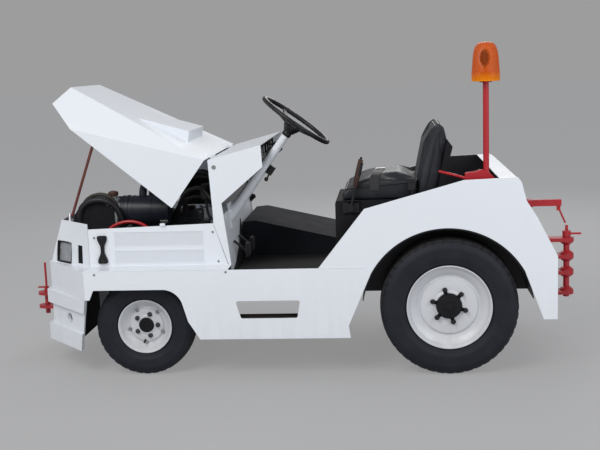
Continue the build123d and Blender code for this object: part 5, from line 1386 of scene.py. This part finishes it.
# Pipe, hoses and wires over the engine, each along a smooth path.
def bayCords():
    cords("red_pipe", redPaint, 14, (0, 1, 0), [(0.0085, [
        (0.972, 0.345, 0.690), (0.950, 0.345, 0.722), (0.905, 0.345, 0.744), (0.855, 0.345, 0.752),
        (0.805, 0.345, 0.744), (0.765, 0.345, 0.722), (0.745, 0.345, 0.690),
    ])])
    cords("bay_hose_black", blackPlastic, 16, (0, 1, 0.1), [(0.0150, [
        (1.128, 0.322, 0.700), (1.116, 0.326, 0.785), (1.098, 0.331, 0.832), (1.050, 0.335, 0.861),
        (0.985, 0.335, 0.862), (0.930, 0.330, 0.832), (0.905, 0.318, 0.772), (0.900, 0.300, 0.700),
    ])])
    cords("bay_hose_brown", hoseRubber, 14, (0, 1, 0.1), [(0.0095, [
        (1.128, 0.293, 0.700), (1.112, 0.298, 0.790), (1.092, 0.300, 0.852), (1.045, 0.300, 0.884),
        (0.985, 0.302, 0.886), (0.935, 0.300, 0.850), (0.918, 0.296, 0.780), (0.930, 0.290, 0.705),
    ])])
    cords("overflow_hose", blackPlastic, 10, (1, 0, 0), [(0.005, [
        (1.128, 0.040, 0.768), (1.130, -0.010, 0.775), (1.132, -0.060, 0.764), (1.134, -0.080, 0.742),
        (1.134, -0.085, 0.715),
    ])])
    cords("bay_wires", blackPlastic, 10, (0, 0.1, 1), [
        (engineBay["wire"], [
            (0.415, 0.30, 0.700), (0.47, 0.29, 0.735), (0.55, 0.20, 0.740), (0.62, 0.155, 0.700),
            (0.66, 0.152, 0.660),
        ]),
        (engineBay["mainWire"], [
            (0.415, 0.34, 0.690), (0.50, 0.335, 0.720), (0.60, 0.320, 0.690), (0.72, 0.300, 0.672),
            (0.84, 0.300, 0.690), (0.97, 0.320, 0.700), (1.085, 0.262, 0.690),
        ]),
        (engineBay["wire"], [(0.415, -0.25, 0.720), (0.50, -0.24, 0.745), (0.60, -0.17, 0.735), (0.68, -0.152, 0.690)]),
    ])


# Rear of the bay: a finned box with its lid, a turned fluid pot with its pipe, and three hoses that reach forward.
def bayRear():
    box = slab(oblong((0.640, 0.090), 0.024, (0.430, -0.150)), 0.800, 0.925)
    lid = slab(oblong((0.644, 0.094), 0.026, (0.426, -0.154)), 0.925, 0.940)
    x = np.linspace(0.46, 0.61, 7)
    ends = [np.column_stack((x, 0 * x + 0.091, 0 * x + z)) for z in (0.812, 0.915)]
    fins = struts(ends[0], ends[1], 0.006, 0.006, (0, 1, 0))
    (box + lid + fins).piece("intake_box", mattBlack, edge=0.003)
    pot = lathed([
        (0, 0.075), (0.020, 0.075), (0.024, 0.071), (0.024, 0.060), (0.030, 0.055), (0.030, 0.004), (0.026, 0.0),
        (0, 0),
    ], 28)
    pot.at((0.452, 0.330, 0.860)).piece("fluid_pot", blackPlastic)
    cords("fluid_pipe", blackPlastic, 10, (0, 1, 0.1), [
        (0.007, [(0.452, 0.330, 0.862), (0.450, 0.332, 0.81), (0.440, 0.335, 0.77), (0.420, 0.335, 0.75)]),
    ], 6)
    cords("bay_hoses_rear", blackPlastic, 14, (0, 1, 0.2), [
        (0.015, [
            (0.415, 0.22, 0.93), (0.46, 0.20, 0.975), (0.53, 0.16, 0.975), (0.58, 0.12, 0.925), (0.60, 0.11, 0.85),
            (0.61, 0.11, 0.76),
        ]),
        (0.011, [(0.415, 0.38, 0.86), (0.47, 0.36, 0.915), (0.54, 0.31, 0.90), (0.60, 0.25, 0.84), (0.63, 0.20, 0.76)]),
        (0.009, [(0.415, 0.28, 0.80), (0.48, 0.28, 0.86), (0.56, 0.26, 0.85), (0.64, 0.20, 0.78), (0.66, 0.16, 0.72)]),
    ])


drumTrim()
capsAndBolts()
bayCords()
bayRear()
print("stage: engine bay")


hoodShape = {
    "hinge": (0.415, 0.0, 1.074), "open": 40.0, "hatHalf": 0.019, "hatDepth": 0.012, "hatY": 0.236, "slope": 0.22194,
}


# Closed hood's inner face: z = 1.0605 - (x - 0.42) slope.
def hoodInner(x):
    return 1.0605 - (x - 0.42) * hoodShape["slope"]


# Hat channels follow the inner face along x and across it, and the whole turns up about the hinge line:
# new = hinge + turn @ (old - hinge).
def hoodUnderside():
    half, depth = hoodShape["hatHalf"], hoodShape["hatDepth"]
    section = np.array([
        (-half - 0.012, 0), (-half - 0.012, -0.0016), (-half, -0.0016), (-half + 0.005, -depth),
        (half - 0.005, -depth), (half, -0.0016), (half + 0.012, -0.0016), (half + 0.012, 0),
    ])
    y, z = section.T
    ends = [np.column_stack((0 * y + x, y, z + hoodInner(x))) for x in (0.455, 1.150)]
    runner = capped(woven(np.stack(ends), False, True), 2)
    channels = [runner.at([(0, hoodShape["hatY"], 0), (0, -hoodShape["hatY"], 0)])]
    slope = np.array([1, 0, -hoodShape["slope"]])
    slope /= np.linalg.norm(slope)
    below = np.array([0.2167, 0, 0.9762])
    for x in (0.510, 1.125):
        flat = section[:, :1] * slope + section[:, 1:] * below
        ends = [np.array([x, y, hoodInner(x)]) + flat for y in (-0.203, 0.203)]
        channels.append(capped(woven(np.stack(ends), False, True), 2))
    lean = math.radians(hoodShape["open"])
    turn = np.array([[math.cos(lean), 0, -math.sin(lean)], [0, 1, 0], [math.sin(lean), 0, math.cos(lean)]])
    hinge = np.array(hoodShape["hinge"])
    joined(channels).at(hinge - turn @ hinge, turn).piece("hood_stiffeners", whitePaint, "hood", edge=0.001)


hoodUnderside()


coupling = {"plates": [0.265, 0.374, 0.460, 0.549], "x": -1.405}


# Couplings: a cone-shaped boss on each face of a tail plate that faces another plate, bored clear of the drop pin.
def couplingParts():
    profile = [(0.0172, 0), (0.0365, 0), (0.0365, 0.004), (0.030, 0.010), (0.022, 0.017), (0.0172, 0.019)]
    boss = lathed(profile, 40, True)
    flip = np.diag((1.0, -1.0, -1.0))
    above = boss.at([(coupling["x"], 0, z + 0.020) for z in coupling["plates"][:3]])
    below = boss.at([(coupling["x"], 0, z) for z in coupling["plates"][1:]], flip)
    (above + below).piece("plate_bosses", redPaint, edge=0.0008)


# Splash guard behind the bumper: a sheet across the nose whose foot rolls forward, x(s), z(s) carried along y.
def splashGuard():
    profile = through([(1.128, 0.398), (1.112, 0.34), (1.106, 0.26), (1.108, 0.19), (1.122, 0.152), (1.150, 0.140)], 6)
    loop = np.vstack((profile, profile[::-1] + (0.0032, 0.0)))
    for hand, side in hands:
        places = np.linspace(0.10, 0.452, 9) * side
        rows = [np.column_stack((loop[:, 0], 0 * loop[:, 0] + y, loop[:, 1])) for y in places]
        capped(woven(np.stack(rows), False, True), len(rows)).piece(f"splash_guard_{hand}", mattBlack)


splashGuard()
couplingParts()
print("stage: hood underside and couplings")


studio = {
    "cameraAt": (-0.478, 5.459, 1.525), "yaw": 5.08, "pitch": 8.95, "roll": -1.94, "focal": 61.69,
    "world": (0.93, 0.96, 1.0), "worldStrength": 0.47, "backdrop": (0.336, 0.336, 0.340),
    "floorReach": 60.0, "floorTone": (0.50, 0.50, 0.505), "floorShare": 0.66, "floorGlow": (0.39, 0.39, 0.395),
}


# The photograph's camera: forward from yaw and pitch, then turned about its own line of sight by the roll.
def addCamera():
    yaw, pitch, roll = (math.radians(studio[key]) for key in ("yaw", "pitch", "roll"))
    right = Vector((-math.cos(yaw), -math.sin(yaw), 0))
    ahead = Vector((math.sin(yaw), -math.cos(yaw), 0))
    level = Vector((0, 0, 1))
    look = math.cos(pitch) * ahead - math.sin(pitch) * level
    top = math.sin(pitch) * ahead + math.cos(pitch) * level
    side = math.cos(roll) * right + math.sin(roll) * top
    up = -math.sin(roll) * right + math.cos(roll) * top
    lens = bpy.data.cameras.new("camera")
    lens.lens = studio["focal"]
    lens.sensor_width = 36.0
    camera = bpy.data.objects.new("camera", lens)
    bpy.context.scene.collection.objects.link(camera)
    camera.matrix_world = Matrix((
        (side.x, up.x, -look.x, studio["cameraAt"][0]), (side.y, up.y, -look.y, studio["cameraAt"][1]),
        (side.z, up.z, -look.z, studio["cameraAt"][2]), (0, 0, 0, 1),
    ))
    bpy.context.scene.camera = camera


# A soft lamp: an area light at a point, aimed at another.
def addLamp(name, at, aim, size, power, colour=(1, 1, 1)):
    data = bpy.data.lights.new(name, "AREA")
    data.shape = "DISK"
    data.size = size
    data.energy = power
    data.color = colour
    lamp = bpy.data.objects.new(name, data)
    bpy.context.scene.collection.objects.link(lamp)
    lamp.location = at
    lamp.rotation_euler = (Vector(aim) - Vector(at)).to_track_quat("-Z", "Y").to_euler()


# Sky that lights the object at one colour, and shows the backdrop's to the camera, to gloss and through glass.
def addSky():
    world = bpy.data.worlds.new("world")
    bpy.context.scene.world = world
    world.use_nodes = True
    tree = world.node_tree
    light = tree.nodes["Background"]
    light.inputs[0].default_value = (*studio["world"], 1)
    light.inputs[1].default_value = studio["worldStrength"]
    seen = tree.nodes.new("ShaderNodeBackground")
    seen.inputs[0].default_value = (*studio["backdrop"], 1)
    path = tree.nodes.new("ShaderNodeLightPath")
    share = path.outputs["Is Camera Ray"]
    for name in ("Is Glossy Ray", "Is Transmission Ray"):
        either = tree.nodes.new("ShaderNodeMath")
        either.operation = "MAXIMUM"
        tree.links.new(share, either.inputs[0])
        tree.links.new(path.outputs[name], either.inputs[1])
        share = either.outputs[0]
    mix = tree.nodes.new("ShaderNodeMixShader")
    tree.links.new(share, mix.inputs[0])
    tree.links.new(light.outputs[0], mix.inputs[1])
    tree.links.new(seen.outputs[0], mix.inputs[2])
    tree.links.new(mix.outputs[0], tree.nodes["World Output"].inputs[0])


# Evens out the floor for the camera: shown = (1 - share) lit floor + share flat tone, which keeps the shadow.
def evenOut(finish):
    tree = finish.tree
    flat = tree.nodes.new("ShaderNodeEmission")
    flat.inputs[0].default_value = (*studio["floorGlow"], 1)
    path = tree.nodes.new("ShaderNodeLightPath")
    share = Socket(finish, path.outputs["Is Camera Ray"]) * studio["floorShare"]
    mix = tree.nodes.new("ShaderNodeMixShader")
    tree.links.new(share.output, mix.inputs[0])
    tree.links.new(finish.shader.outputs[0], mix.inputs[1])
    tree.links.new(flat.outputs[0], mix.inputs[2])
    tree.links.new(mix.outputs[0], tree.nodes["Material Output"].inputs[0])


# The camera, three soft lamps, the sky, and a wide floor whose tone drifts by a few hundredths.
def addStudio():
    addCamera()
    addLamp("keyLamp", (2.4, 4.6, 4.8), (0, 0, 0.6), 3.6, 215, (1, 0.99, 0.97))
    addLamp("fillLamp", (-3.8, 3.6, 2.6), (0, 0, 0.6), 3.0, 78, (0.95, 0.97, 1))
    addLamp("backLamp", (-1.0, -4.6, 3.8), (0, 0, 0.7), 3.0, 105)
    addSky()
    reach, tone = studio["floorReach"], studio["floorTone"]
    ground = bpy.data.meshes.new("ground")
    corners = [(-reach, -reach, 0), (reach, -reach, 0), (reach, reach, 0), (-reach, reach, 0)]
    ground.from_pydata(corners, [], [(0, 1, 2, 3)])
    finish = Finish("groundFinish", Roughness=0.95)
    finish.set(Base_Color=finish.mix(finish.noise(3, 2.0) * 0.2, tone, tuple(0.97 * part for part in tone)))
    evenOut(finish)
    ground.materials.append(finish.material)
    stage = bpy.data.objects.new("ground", ground)
    bpy.context.scene.collection.objects.link(stage)
    bpy.context.scene.view_settings.view_transform = "Standard"


addStudio()
print("stage: camera, lamps and ground")
